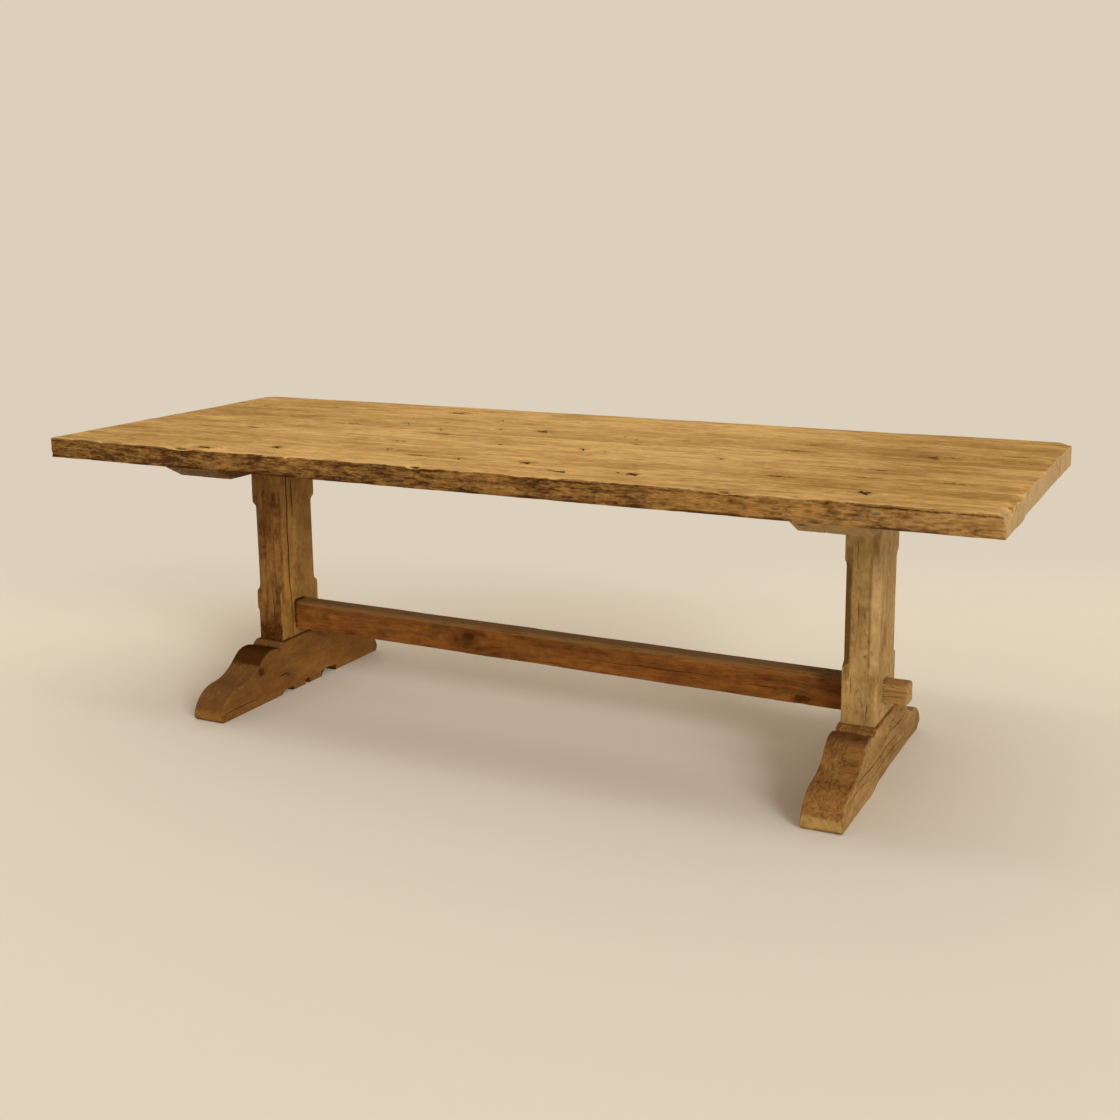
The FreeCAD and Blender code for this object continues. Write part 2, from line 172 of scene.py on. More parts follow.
# Cracks in the face of the top, along the grain: start, end, place across, and width.
TOP_CRACKS = [
    (-0.390, -0.220, -0.007, 0.0024), (-0.900, -0.810, -0.105, 0.0020),
    (-0.130, -0.030, -0.102, 0.0022), (0.820, 0.940, -0.196, 0.0024),
    (1.000, 1.140, -0.197, 0.0036), (1.075, 1.210, 0.205, 0.0020),
    (0.640, 0.760, -0.255, 0.0014), (0.820, 0.960, -0.095, 0.0014),
    (-0.240, -0.130, -0.330, 0.0014), (0.180, 0.300, 0.030, 0.0012),
    (-0.700, -0.560, 0.060, 0.0014), (0.560, 0.700, 0.090, 0.0014),
]

# How much lighter or darker than the others each board is.
BOARD_SHADES = (0.18, 0.03, 0.16, -0.02, 0.14)

# Chips out of the front edge of the top: middle, half length, how far in, and how far down.
EDGE_CHIPS = [
    (-0.109, 0.020, 0.005, 0.006), (0.653, 0.016, 0.004, 0.005), (-0.472, 0.008, 0.004, 0.004),
    (-0.795, 0.040, 0.003, 0.004), (0.905, 0.012, 0.003, 0.003), (0.240, 0.030, 0.003, 0.002),
]

# Bites out of the upper arris at the right end: the same four numbers.
END_BITES = [
    (-0.435, 0.042, 0.008, 0.011), (-0.362, 0.024, 0.004, 0.006), (-0.285, 0.034, 0.005, 0.008),
    (-0.190, 0.028, 0.003, 0.006), (-0.020, 0.040, 0.003, 0.005), (0.170, 0.050, 0.003, 0.005),
]

# The posts' chamfers: width, and the heights between which they run in full.
CHAMFER, CHAMFER_FROM, CHAMFER_TO = 0.017, 0.283, 0.557

# Knots in a post's front: place from its middle, height, radius, and how dark.
POST_KNOTS = {
    "left": [(-0.015, 0.425, 0.009, 0.6), (0.010, 0.210, 0.012, 0.6)],
    "right": [(0.012, 0.322, 0.004, 0.7), (-0.004, 0.185, 0.007, 0.4)],
}

# Cracks up a post: start, end, place across (in the front, from its middle), sway, and width.
POST_SIDE_CRACKS = {
    "left": [(0.150, 0.860, -0.040, 0.007, 0.0062), (0.500, 0.610, -0.020, 0.012, 0.0050)],
    "right": [(0.235, 0.350, -0.012, 0.004, 0.0034), (0.150, 0.205, -0.030, 0.004, 0.0028)],
}
POST_FRONT_CRACKS = {
    "left": [(0.180, 0.330, 0.012, 0.004, 0.0016)],
    "right": [
        (0.395, 0.455, -0.006, 0.004, 0.0014), (0.530, 0.600, -0.012, 0.004, 0.0016),
        (0.165, 0.215, 0.020, 0.004, 0.0018), (0.225, 0.275, -0.020, 0.004, 0.0014),
    ],
}

# Knots in the feet: place (None: in the cheek), radius, and how dark.
FOOT_KNOTS = {
    "left": [(None, -0.198, 0.098, 0.017, 1.0), (-0.800, -0.212, 0.118, 0.007, 0.5)],
    "right": [
        (0.868, -0.163, 0.150, 0.013, 0.65), (0.893, -0.174, 0.146, 0.008, 0.6),
        (0.880, -0.215, 0.108, 0.012, 0.5), (0.868, -0.340, 0.060, 0.007, 0.6),
        (0.842, -0.334, 0.062, 0.008, 0.55), (0.817, -0.374, 0.016, 0.007, 0.65),
        (0.829, -0.374, 0.024, 0.006, 0.55), (None, -0.372, 0.026, 0.006, 0.6),
    ],
}

# Cracks along the feet's cheeks: start, end, height, sway, and width.
FOOT_CRACKS = {
    "left": [
        (-0.125, -0.070, 0.060, 0.004, 0.0030), (-0.085, -0.060, 0.052, 0.003, 0.0030),
        (-0.36, -0.22, 0.024, 0.003, 0.0022),
    ],
    "right": [
        (-0.260, 0.100, 0.072, 0.014, 0.0036), (-0.150, 0.180, 0.045, 0.008, 0.0026),
        (-0.060, 0.300, 0.100, 0.008, 0.0024), (0.020, 0.260, 0.120, 0.006, 0.0018),
        (-0.340, -0.180, 0.055, 0.006, 0.0018),
    ],
}

# Half the thickness of a foot at its cheeks, and where its front crest lies across the table.
CHEEK, CREST = 0.048, -0.165

# Gaps worn in the sole of the left foot: start and end across the table, and height. The wood
# below SOLE_TOP makes room for them.
SOLE_GAPS = [(-0.108, -0.056, 0.011), (0.002, 0.020, 0.015), (0.080, 0.150, 0.019)]
SOLE_TOP = 0.04

# Knots in the stretcher's front, and then in its top: place along, height, radius, how dark.
STRETCHER_KNOTS = [
    (-0.228, 0.222, 0.017, 1.0), (-0.268, 0.207, 0.010, 0.7), (0.700, 0.176, 0.020, 1.0),
    (0.752, 0.236, 0.013, 0.8), (0.609, 0.195, 0.007, 0.5), (-0.387, 0.188, 0.008, 0.5),
    (-0.700, 0.222, 0.010, 0.6),
]
STRETCHER_TOP_KNOTS = [(0.720, 0.247, 0.012, 0.7), (-0.665, 0.256, 0.010, 0.6)]

# Heights of the stretcher's waney arris at its two ends.
WANE_FROM, WANE_TO = 0.238, 0.249

# Cracks in the stretcher's front, and then in its right tenon's front: as the feet's.
STRETCHER_CRACKS = [
    (0.15, 0.50, 0.205, 0.004, 0.0014), (-0.10, 0.06, 0.178, 0.003, 0.0016),
    (0.560, 0.640, 0.196, 0.003, 0.0022),
]
TENON_CRACKS = [
    (0.87, 0.955, 0.222, 0.006, 0.0011), (0.88, 0.950, 0.210, 0.006, 0.0010),
    (0.88, 0.955, 0.234, 0.004, 0.0011),
]
TENON_HALF = 0.0225

# The crack mark of wood that has none near it, in half widths of a crack.
UNCRACKED = 20.0

# How far the mark of a knot reaches, in its radii, and that of a crack, in metres.
KNOT_REACH, CRACK_REACH = 1.6, 0.012


# ---------------------------------------------------------------- small helpers


def ramp(low, high, values):
    """0 below low, 1 above high, and smooth between. It falls where low is above high."""
    t = np.clip((values - low) / (high - low), 0.0, 1.0)
    return t * t * (3.0 - 2.0 * t)


def fade(low, high, values):
    """1 below low, 0 above high, and smooth between."""
    return 1.0 - ramp(low, high, values)


def bell(values, middle, width):
    """1 in the middle, falling to both sides as a bell curve does."""
    return np.exp(-(((values - middle) / width) ** 2))


def arch(values, middle, half, power=0.5):
    """1 in the middle and 0 from half away on, as an arch."""
    return np.clip(1.0 - ((values - middle) / half) ** 2, 0.0, 1.0) ** power


def field(points, waves, seed):
    """Smooth noise about zero at many points, with so many waves a metre along each axis."""
    scaled = points * np.array(waves) + seed * 11.7
    return np.array([noise.noise(point) for point in scaled.tolist()])


def wander(places, period, seed):
    """A smooth random line between about -1 and 1 along some places, read from a table."""
    low, high = float(np.min(places)), float(np.max(places))
    table = np.linspace(low, high, max(8, int((high - low) / period * 10)))
    values = [noise.noise((place / period, seed * 7.31, seed * 3.77)) for place in table]
    return np.interp(places, table, values)


def graded(low, high, coarse, fine, spots, reach):
    """Places from low to high, a coarse step apart, and a fine one near the spots."""
    samples = np.linspace(low, high, 4000)
    density = np.full_like(samples, 1.0 / coarse)
    for spot in spots:
        finer = 1.0 / coarse + (1.0 / fine - 1.0 / coarse) * bell(samples, spot, reach)
        density = np.maximum(density, finer)
    total = np.cumsum((density[1:] + density[:-1]) / 2 * np.diff(samples))
    total = np.concatenate([[0.0], total])
    count = max(2, int(round(total[-1])))
    return np.interp(np.linspace(0.0, total[-1], count + 1), total, samples)


def add_marks(mesh, **marks):
    """Numbers or vectors at each vertex, for the finishes and the weathering to read."""
    for name, values in marks.items():
        values = np.asarray(values, np.float32)
        kind, key = ("FLOAT_VECTOR", "vector") if values.ndim == 2 else ("FLOAT", "value")
        mesh.attributes.new(name, kind, "POINT").data.foreach_set(key, values.ravel())


def rows_of(data, key):
    """One vector of each item, as rows of x, y, z."""
    flat = np.empty(len(data) * 3, np.float32)
    data.foreach_get(key, flat)
    return flat.reshape(-1, 3).astype(float)


def places_of(mesh):
    """The vertices of a mesh."""
    return rows_of(mesh.vertices, "co")


def normals_of(mesh):
    """The vertex normals of a mesh."""
    return rows_of(mesh.vertex_normals, "vector")


def set_places(mesh, places):
    """Moves the vertices of a mesh."""
    mesh.vertices.foreach_set("co", np.asarray(places, np.float32).ravel())
    mesh.update()


def smooth_faces(mesh, sharp_degrees):
    """Shades a mesh smooth, apart from its edges above an angle."""
    mesh.polygons.foreach_set("use_smooth", [True] * len(mesh.polygons))
    mesh.set_sharp_from_angle(angle=math.radians(sharp_degrees))


def link(name, data):
    """A new object at the origin."""
    piece = bpy.data.objects.new(name, data)
    bpy.context.scene.collection.objects.link(piece)
    return piece


def plain_mesh(piece, name):
    """The piece with its modifiers applied, as a plain mesh in a new object. The old one goes."""
    bpy.context.view_layer.update()
    graph = bpy.context.evaluated_depsgraph_get()
    mesh = bpy.data.meshes.new_from_object(piece.evaluated_get(graph), depsgraph=graph)
    bpy.data.objects.remove(piece)
    mesh.name = name
    return link(name, mesh)


def seat(piece, nodes):
    """The piece rides with the table and stands for its nodes."""
    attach(piece, ROOT)
    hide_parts(*nodes)


class Value:
    """A node's output. A sum, difference or product with it is a new Math node."""

    def __init__(self, nodes, socket):
        self.nodes, self.socket = nodes, socket

    def __add__(self, other):
        return self.nodes.maths("ADD", self, other)

    def __radd__(self, other):
        return self.nodes.maths("ADD", other, self)

    def __sub__(self, other):
        return self.nodes.maths("SUBTRACT", self, other)

    def __rsub__(self, other):
        return self.nodes.maths("SUBTRACT", other, self)

    def __mul__(self, other):
        return self.nodes.maths("MULTIPLY", self, other)


class Nodes:
    """A short way to add and join nodes in one tree."""

    def __init__(self, tree):
        self.tree = tree

    def add(self, kind, **settings):
        node = self.tree.nodes.new(kind)
        for name, value in settings.items():
            setattr(node, name, value)
        return node

    def feed(self, value, socket):
        """A link if the value is an output, or else the socket's own value."""
        if isinstance(value, Value):
            self.tree.links.new(value.socket, socket)
        else:
            socket.default_value = value

    def outputs(self, node):
        """A node's outputs, by name."""
        return {socket.name: Value(self, socket) for socket in node.outputs}

    def make(self, kind, inputs, output=0, **settings):
        """A node with its inputs fed by name or number, and one of its outputs."""
        node = self.add(kind, **settings)
        for key, value in inputs.items():
            self.feed(value, node.inputs[key])
        return Value(self, node.outputs[output])

    def maths(self, operation, first, second, clamp=False):
        inputs = {0: first, 1: second}
        return self.make("ShaderNodeMath", inputs, operation=operation, use_clamp=clamp)

    def most(self, first, *others):
        """The largest of some values."""
        for other in others:
            first = self.maths("MAXIMUM", first, other)
        return first

    def vectors(self, operation, first, second):
        key = "Scale" if operation == "SCALE" else 1
        return self.make("ShaderNodeVectorMath", {0: first, key: second}, operation=operation)

    def joined(self, **parts):
        """A vector from some of its parts."""
        return self.make("ShaderNodeCombineXYZ", parts)

    def split(self, vector):
        """The three parts of a vector."""
        node = self.add("ShaderNodeSeparateXYZ")
        self.feed(vector, node.inputs[0])
        return self.outputs(node).values()

    def mix(self, share, first, second):
        """Two colours mixed."""
        inputs = {0: share, 6: first, 7: second}
        return self.make("ShaderNodeMix", inputs, 2, data_type="RGBA")

    def span(self, value, low, high, kind="LINEAR"):
        """A value's range stretched from 0 to 1, and held within it."""
        inputs = {"Value": value, "From Min": low, "From Max": high}
        return self.make("ShaderNodeMapRange", inputs, interpolation_type=kind)

    def clouds(self, place, stretch, detail, rough=0.55):
        """Noise about a half, with so many waves a metre along each axis."""
        stretched = self.vectors("MULTIPLY", place, stretch)
        inputs = {"Vector": stretched, "Scale": 1.0, "Detail": detail, "Roughness": rough}
        return self.make("ShaderNodeTexNoise", inputs)

    def ripple(self, place, waves, detail):
        """Noise about a half along a line."""
        inputs = {"W": place, "Scale": waves, "Detail": detail}
        return self.make("ShaderNodeTexNoise", inputs, noise_dimensions="1D")

    def paint(self, geometry, material, result):
        """The end of a Geometry Nodes tree: its instances made real, and its material set."""
        real = self.make("GeometryNodeRealizeInstances", {"Geometry": geometry})
        painted = {"Geometry": real, "Material": material}
        self.feed(self.make("GeometryNodeSetMaterial", painted), result)


def new_tree(name, kind, inputs, outputs):
    """A node group with named sockets, a Nodes for it, and its inner inputs and outputs."""
    tree = bpy.data.node_groups.new(name, kind)
    for direction, sockets in (("INPUT", inputs), ("OUTPUT", outputs)):
        for socket_name, socket_kind, default in sockets:
            socket = tree.interface.new_socket(
                socket_name, in_out=direction, socket_type="NodeSocket" + socket_kind
            )
            if default is not None:
                socket.default_value = default
    nodes = Nodes(tree)
    given = nodes.outputs(nodes.add("NodeGroupInput"))
    return tree, nodes, given, nodes.add("NodeGroupOutput").inputs


def shaped_by(tree, name, piece, new_name, values):
    """The piece shaped by a Geometry Nodes tree, as a plain mesh in a new object."""
    modifier = piece.modifiers.new(name, "NODES")
    modifier.node_group = tree
    for item in tree.interface.items_tree:
        if item.in_out == "INPUT" and item.name in values:
            modifier[item.identifier] = values[item.name]
    return plain_mesh(piece, new_name)


# ---------------------------------------------------------------- weathering of the timber


def weathering_tree():
    """Geometry Nodes that hollow and ridge a piece of timber along its grain, always inward.

    Each vertex carries its place in the wood as "grain", how far a knot or crack sinks it as
    "sink", and how free it is to move as "free", which is 0 where pieces touch.
    """
    tree = bpy.data.node_groups.get("Weathering")
    if tree:
        return tree
    inputs = [
        ("Timber", "Geometry", None), ("Hollows", "Float", 0.0016),
        ("Ridges", "Float", 0.0005), ("Material", "Material", None),
    ]
    tree, nodes, given, result = new_tree(
        "Weathering", "GeometryNodeTree", inputs, [("Timber", "Geometry", None)]
    )

    def mark(name, kind):
        return nodes.make("GeometryNodeInputNamedAttribute", {"Name": name}, data_type=kind)

    grain = mark("grain", "FLOAT_VECTOR")
    broad = nodes.clouds(grain, (5.0, 12.0, 12.0), 1.0) - 0.60
    narrow = nodes.clouds(grain, (9.0, 150.0, 150.0), 2.0) - 0.60
    depth = broad * given["Hollows"] * 2.4 + narrow * given["Ridges"] * 2.4 - mark("sink", "FLOAT")
    depth = nodes.maths("MINIMUM", depth, 0.0) * mark("free", "FLOAT")
    offset = nodes.vectors("SCALE", nodes.make("GeometryNodeInputNormal", {}), depth)
    moved = nodes.make("GeometryNodeSetPosition", {"Geometry": given["Timber"], "Offset": offset})
    nodes.paint(moved, given["Material"], result["Timber"])
    return tree


def weather(piece, name, hollows, ridges, material):
    """The piece hollowed and ridged by the weathering tree, as a plain mesh."""
    values = {"Hollows": hollows, "Ridges": ridges, "Material": material}
    finished = shaped_by(weathering_tree(), "Weathering", piece, name, values)
    if not finished.data.materials:
        finished.data.materials.append(material)
    smooth_faces(finished.data, 50)
    return finished


def mark_wood(mesh, axes, pith, shift, free, knots, cracks, splits=(), halo=0.0, pale=0.0, **marks):
    """Gives each vertex its place in the wood, and the marks of knots, cracks, wear, and dirt with
    painted shade.

    axes are the indices of the directions along the grain, across it and through it. pith is
    where the tree's heart lies in the last two, and shift sets this piece apart from others.
    A knot is (place, radius, strength) and spreads the grain around it. A crack is (axis across,
    start, end, place across, sway, width, face axis, face place). A split is a short crack in a
    level face, at any slant: (x, y, x, y, width, height). halo is how far dirt has spread from
    the cracks, and pale is where the wood is bleached or shows end grain, and on the right
    post's chamfer that faces the key a painted highlight. The other marks are shade, which holds
    the wood's tone and on some pieces painted light and shade; wear; soil, which holds dirt and
    painted shade; and face.
    """
    sizes = bpy.context.scene.table_wear
    places, normals = places_of(mesh), normals_of(mesh)
    along, across, through = (places[:, k] for k in axes)
    grain = np.stack([along + shift, across - pith[0], through - pith[1]], 1)
    none = np.zeros(len(places))
    knot, sink, spread_dirt = none, none, none
    for spot, radius, strength in knots:
        a, b, c = (places - np.array(spot))[:, list(axes)].T
        near = np.sqrt((a / 1.3) ** 2 + b**2 + c**2) / radius
        spread = np.exp(-(((a / 2.6) ** 2 + b**2) / (2.2 * radius) ** 2))
        grain[:, 1] -= b * spread * 0.85
        darkness = np.clip(KNOT_REACH - near, 0.0, KNOT_REACH) / KNOT_REACH * strength
        knot = np.maximum(knot, darkness)
        sink = np.maximum(sink, sizes.knot_sink * strength * fade(0.3, 1.0, near))
    nearest = none + UNCRACKED
    for across_axis, start, end, place, sway, width, face_axis, face_place in cracks:
        line = place + sway * wander(along, 0.11, place + start)
        line = line + 0.0012 * wander(along, 0.018, end)
        half = (end - start) / 2
        taper = np.clip(1.0 - np.abs((along - (start + end) / 2) / half), 0.0, 1.0)
        gap = places[:, across_axis] - line
        off = np.maximum(np.abs(places[:, face_axis] - face_place), np.abs(gap))
        reached = (taper > 0) & (off < CRACK_REACH)
        signed = gap / (width * (0.2 + 0.8 * np.sqrt(taper))) * 2
        nearest = np.where(reached & (np.abs(signed) < np.abs(nearest)), signed, nearest)
        groove = bell(gap, 0.0, width * 0.9) * np.sqrt(taper)
        sink = np.maximum(sink, np.where(reached, sizes.crack_sink * groove, 0.0))
        if halo:
            dirty = 0.85 * bell(gap, 0.0, halo) * np.sqrt(taper)
            spread_dirt = np.maximum(spread_dirt, np.where(reached, dirty, 0.0))
    for x0, y0, x1, y1, width, height in splits:
        run, rise = x1 - x0, y1 - y0
        reach = math.hypot(run, rise)
        dx, dy = places[:, 0] - x0, places[:, 1] - y0
        t = (dx * run + dy * rise) / reach**2
        over = np.maximum(np.maximum(-t, t - 1.0), 0.0) * reach
        gap = (dy * run - dx * rise) / reach
        narrow = width * (0.25 + 0.75 * np.sqrt(np.clip(4 * t * (1 - t), 0, 1)))
        signed = np.where(over > 0, np.hypot(gap, over), gap) / narrow * 2
        reached = (np.abs(places[:, 2] - height) < 0.010) & (np.abs(signed) < UNCRACKED)
        nearest = np.where(reached & (np.abs(signed) < np.abs(nearest)), signed, nearest)
        groove = 0.8 * sizes.crack_sink * np.exp(-(signed**2) / 3)
        sink = np.maximum(sink, np.where(reached, groove, 0.0))
    cut = ramp(0.75, 0.97, np.abs(normals[:, axes[0]]))
    marks = {name: none + marks.get(name, 0.0) for name in ("shade", "wear", "soil", "face")}
    marks["soil"] = np.maximum(marks["soil"], spread_dirt)
    cut = np.maximum(cut, pale)
    add_marks(mesh, grain=grain, knot=knot, crack=nearest, sink=sink, free=free, cut=cut, **marks)


def near_box(places, low, high, reach):
    """How near each place is to a box, from 1 on it to 0 far away."""
    gap = np.maximum(np.maximum(np.array(low) - places, places - np.array(high)), 0.0)
    return bell(np.linalg.norm(gap, axis=1), 0.0, reach)


def near_post(places, side, bottom, top, reach):
    """How near each place is to a post, between two heights."""
    low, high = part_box("post_" + side)
    return near_box(places, (low.x, low.y, bottom), (high.x, high.y, top), reach)


# ---------------------------------------------------------------- boards of the top


def rounding(distance, radius):
    """How far a rounding of that radius draws in at a distance from the edge."""
    if radius <= 0:
        return np.zeros_like(distance)
    inside = np.clip(radius - distance, 0.0, radius)
    return radius - np.sqrt(radius * radius - inside * inside)


def end_run(radii, steps=6):
    """Distances from an end at which roundings of those radii need stations."""
    angles = [math.pi / 2 * k / steps for k in range(steps + 1)]
    return np.array(sorted({round(r * (1 - math.sin(a)), 6) for r in radii for a in angles}))


def board_sections(y0, y1, z0, z1, radii, across, upward):
    """Rings round a board, one for each station: rows of (y, z), from the lower front corner.

    Each side runs from the middle of one rounded corner to the middle of the next, and radii
    holds the four corners' roundings at each station.
    """
    corners = [(y0, z0, 1, 0), (y1, z0, 0, 1), (y1, z1, -1, 0), (y0, z1, 0, -1)]
    wide, high = y1 - y0, z1 - z0
    spans = [(wide, across), (high, upward), (wide, 1 - across[::-1]), (high, upward)]
    slanted = [math.radians(45), math.radians(22.5)]
    rings = []
    for k, (y, z, way_y, way_z) in enumerate(corners):
        span, fractions = spans[k]
        here, there = radii[k], radii[(k + 1) % 4]
        runs = [(here * (1 - math.sin(a)), here * (1 - math.cos(a))) for a in slanted]
        runs += [(here + part * (span - here - there), 0.0 * here) for part in fractions]
        a = slanted[1]
        runs.append((span - there * (1 - math.sin(a)), there * (1 - math.cos(a))))
        for run, inset in runs:
            place = (y + way_y * run - way_z * inset, z + way_z * run + way_y * inset)
            rings.append(np.stack(place, 1))
    return np.stack(rings, 1)


def loft(name, stations, sections, wide, high):
    """A closed mesh through sections across X, with a grid of faces over each end.

    wide and high are how many steps the ring takes along the bottom and up the back.
    """
    count, around = sections.shape[:2]
    body = np.concatenate([np.repeat(stations[:, None], around, 1)[:, :, None], sections], 2)
    ring = np.arange(around)
    turned = np.roll(ring, -1)
    base = (np.arange(count - 1) * around)[:, None]
    sides = np.stack([base + ring, base + turned, base + around + turned, base + around + ring], 2)
    faces = sides.reshape(-1, 4).tolist()
    verts, total = [body.reshape(-1, 3)], count * around
    u = np.arange(1, wide)[None, :, None] / wide
    v = np.arange(1, high)[:, None, None] / high
    for station, flip in ((0, True), (count - 1, False)):
        rim = body[station]
        bottom, top = rim[: wide + 1], rim[wide + high : 2 * wide + high + 1][::-1]
        back = rim[wide : wide + high + 1]
        front = np.concatenate([rim[2 * wide + high :], rim[:1]])[::-1]
        inner = (1 - v) * bottom[None, 1:wide] + v * top[None, 1:wide]
        inner = inner + (1 - u) * front[1:high, None] + u * back[1:high, None]
        inner = inner - (1 - u) * (1 - v) * bottom[0] - u * (1 - v) * bottom[wide]
        inner = inner - u * v * top[wide] - (1 - u) * v * top[0]
        verts.append(inner.reshape(-1, 3))
        index = np.empty((high + 1, wide + 1), int)
        start, inside = station * around, (high - 1, wide - 1)
        index[0] = start + np.arange(wide + 1)
        index[:, wide] = start + wide + np.arange(high + 1)
        index[high] = start + 2 * wide + high - np.arange(wide + 1)
        index[1:, 0] = start + around - np.arange(1, high + 1)
        index[1:high, 1:wide] = total + np.arange(inside[0] * inside[1]).reshape(inside)
        total += inside[0] * inside[1]
        cells = np.stack([index[:-1, :-1], index[:-1, 1:], index[1:, 1:], index[1:, :-1]], 2)
        cells = cells[:, :, ::-1] if flip else cells
        faces += cells.reshape(-1, 4).tolist()
    mesh = bpy.data.meshes.new(name)
    mesh.from_pydata(np.concatenate(verts).tolist(), [], faces)
    shell = bmesh.new()
    shell.from_mesh(mesh)
    bmesh.ops.recalc_face_normals(shell, faces=shell.faces)
    shell.to_mesh(mesh)
    shell.free()
    return mesh


def wear_board(mesh, low, high, first, last):
    """Wears the ends of a board, and the front board's edge, unevenly and always inward."""
    sizes = bpy.context.scene.table_wear
    places = places_of(mesh)
    x, y, z = places.T.copy()
    beside = np.stack([np.zeros(len(x)), y, z], 1)
    upper = ramp(high.z - 0.030, high.z, z)
    for end, seed in ((low.x, 31), (high.x, 37)):
        close = np.abs(x - end) < 0.05
        bitten = np.zeros(len(x))
        bitten[close] = 0.2 + 1.1 * field(beside[close], (1, 13, 5), seed)
        bitten[close] += 0.25 * field(beside[close], (1, 55, 30), seed + 2)
        worn = sizes.end_waves * np.clip(bitten, 0, 1.3)
        worn = worn * (0.5 + 0.7 * ramp(high.z - 0.020, high.z, z))
        share = fade(0.0, 0.045, np.abs(x - end))
        places[:, 0] += np.sign(low.x + high.x - 2 * end) * worn * share
    for middle, half, inward, down in END_BITES:
        bite = arch(y, middle, half) * ramp(high.z - 0.026, high.z - 0.004, z)
        places[:, 0] -= inward * bite * fade(0.0, 0.018, high.x - x)
        places[:, 2] -= down * bite * fade(0.004, 0.022, high.x - x)
    if high.x > cad_high[0] - 0.0005:
        # The board that reaches furthest draws back towards the next one.
        step = 0.0045 * ramp(high.y - 0.090, high.y, y)
        places[:, 0] -= step * fade(0.0, 0.045, high.x - x)
    if first:
        near = fade(0.0, 0.022, y - low.y)
        waves = 0.35 + 0.9 * wander(x, 0.21, 41) + 0.6 * wander(x, 0.06, 42)
        places[:, 2] -= sizes.edge_waves * np.clip(waves, 0, 1.4) * near * upper
        waves = 0.30 + 0.9 * wander(x, 0.10, 43) + 0.8 * wander(x, 0.03, 44)
        lifted = 0.12 * sizes.edge_waves * np.clip(waves, 0, 1.5)
        places[:, 2] += lifted * near * ramp(low.z + 0.026, low.z, z)
        close = y - low.y < 0.012
        rough = np.zeros(len(x))
        rough[close] = field(places[close], (14, 0, 70), 45)
        rough[close] += 0.6 * field(places[close], (45, 0, 160), 46)
        torn = np.clip(0.25 + rough, 0, 1.2) * fade(0.0, 0.010, y - low.y)
        places[:, 1] += 0.0038 * torn
        for middle, half, inward, down in EDGE_CHIPS:
            chip = arch(x, middle, half) * ramp(high.z - 0.024, high.z - 0.004, z)
            places[:, 1] += inward * chip * fade(0.0, 0.016, y - low.y)
            places[:, 2] -= down * chip * fade(0.004, 0.020, y - low.y)
    if last:
        corner = fade(0.0, 0.036, np.hypot(high.x - x, 0.7 * (high.y - y)))
        places[:, 2] -= 0.008 * corner * ramp(high.z - 0.040, high.z, z)
        near = fade(0.0, 0.022, high.y - y)
        waves = 0.3 + 0.9 * wander(x, 0.24, 47)
        places[:, 2] -= 0.3 * sizes.edge_waves * np.clip(waves, 0, 1.4) * near * upper
    set_places(mesh, places)


def knot_splits(knots, number, height):
    """The short dark splits across each knot of a board."""
    splits = []
    for k, (x, y, radius, dark) in enumerate(knots):
        turn = 0.75 + 0.35 * math.sin(5.3 * k + number)
        reach = radius * (1.25 + 0.35 * math.sin(3.1 * k + 2 * number))
        run, rise = reach * math.cos(turn), reach * math.sin(turn)
        wide, thin = (0.004 + 0.13 * radius) * dark, 0.0045 * dark
        splits.append((x - run, y + rise, x + run, y - rise, wide, height))
        splits.append((x + 0.4 * run, y - 1.2 * rise, x + 2.0 * run, y - 0.8 * rise, thin, height))
        if radius > 0.0135:
            far = (x - 2.3 * run, y + 0.5 * rise, x - 0.9 * run, y + 0.1 * rise)
            splits.append(far + (thin, height))
    return splits


def board_mesh(number, low, high, knots, cracks, first, last):
    """A board's mesh, finer near its knots and cracks, with its arrises worn."""
    sizes = bpy.context.scene.table_wear
    corner_left = sizes.front_corner if first else sizes.back_left_corner if last else 0.0
    corner_right = sizes.front_corner if first else sizes.back_right_corner if last else 0.0
    left_runs = end_run((sizes.end_arris, corner_left))
    right_runs = end_run((sizes.end_arris, corner_right))
    cell = sizes.front_cell if first else sizes.board_cell
    start, end = low.x + left_runs[-1] + 0.005, high.x - right_runs[-1] - 0.005
    finest, reach = 0.0030, 0.03
    middle = graded(start, end, cell, finest, [k[0] for k in knots], reach)
    stations = np.concatenate([low.x + left_runs, middle, high.x - right_runs[::-1]])
    from_left, from_right = stations - low.x, high.x - stations
    inset = rounding(np.minimum(from_left, from_right), sizes.end_arris)
    cut = rounding(from_left, corner_left) + rounding(from_right, corner_right)
    eased = 0.12  # A joint draws in by this share of an end's rounding.
    y0 = low.y + inset * (1.0 if first else eased) + (cut if first else 0.0)
    y1 = high.y - inset * (1.0 if last else eased) - (cut if last else 0.0)

    waves = 0.45 * wander(stations, 0.16, 1)
    worn_top = sizes.front_arris * (1.0 + waves + 0.35 * wander(stations, 0.035, 2))
    worn_back = sizes.end_arris * (1.0 + 0.4 * wander(stations, 0.13, 3))
    under = sizes.under_arris * (1.0 + 0.5 * wander(stations, 0.07, 4))
    joint = sizes.joint_arris * (1.0 + 1.4 * np.clip(wander(stations, 0.09, number + 5), 0, 1))
    radii = [
        under if first else joint, under if last else joint,
        worn_back if last else joint, worn_top if first else joint,
    ]
    span = high.y - low.y
    spots = [(k[1] - low.y) / span for k in knots] + [(c[2] - low.y) / span for c in cracks]
    across = graded(0.0, 1.0, 0.0044 / span, 0.0024 / span, spots, 0.014 / span)
    upward = np.linspace(0.0, 1.0, 20 if first or last else 9)
    sections = board_sections(y0, y1, low.z + inset, high.z - inset, radii, across, upward)
    return loft(BOARDS[number], stations, sections, len(across) + 3, len(upward) + 3)


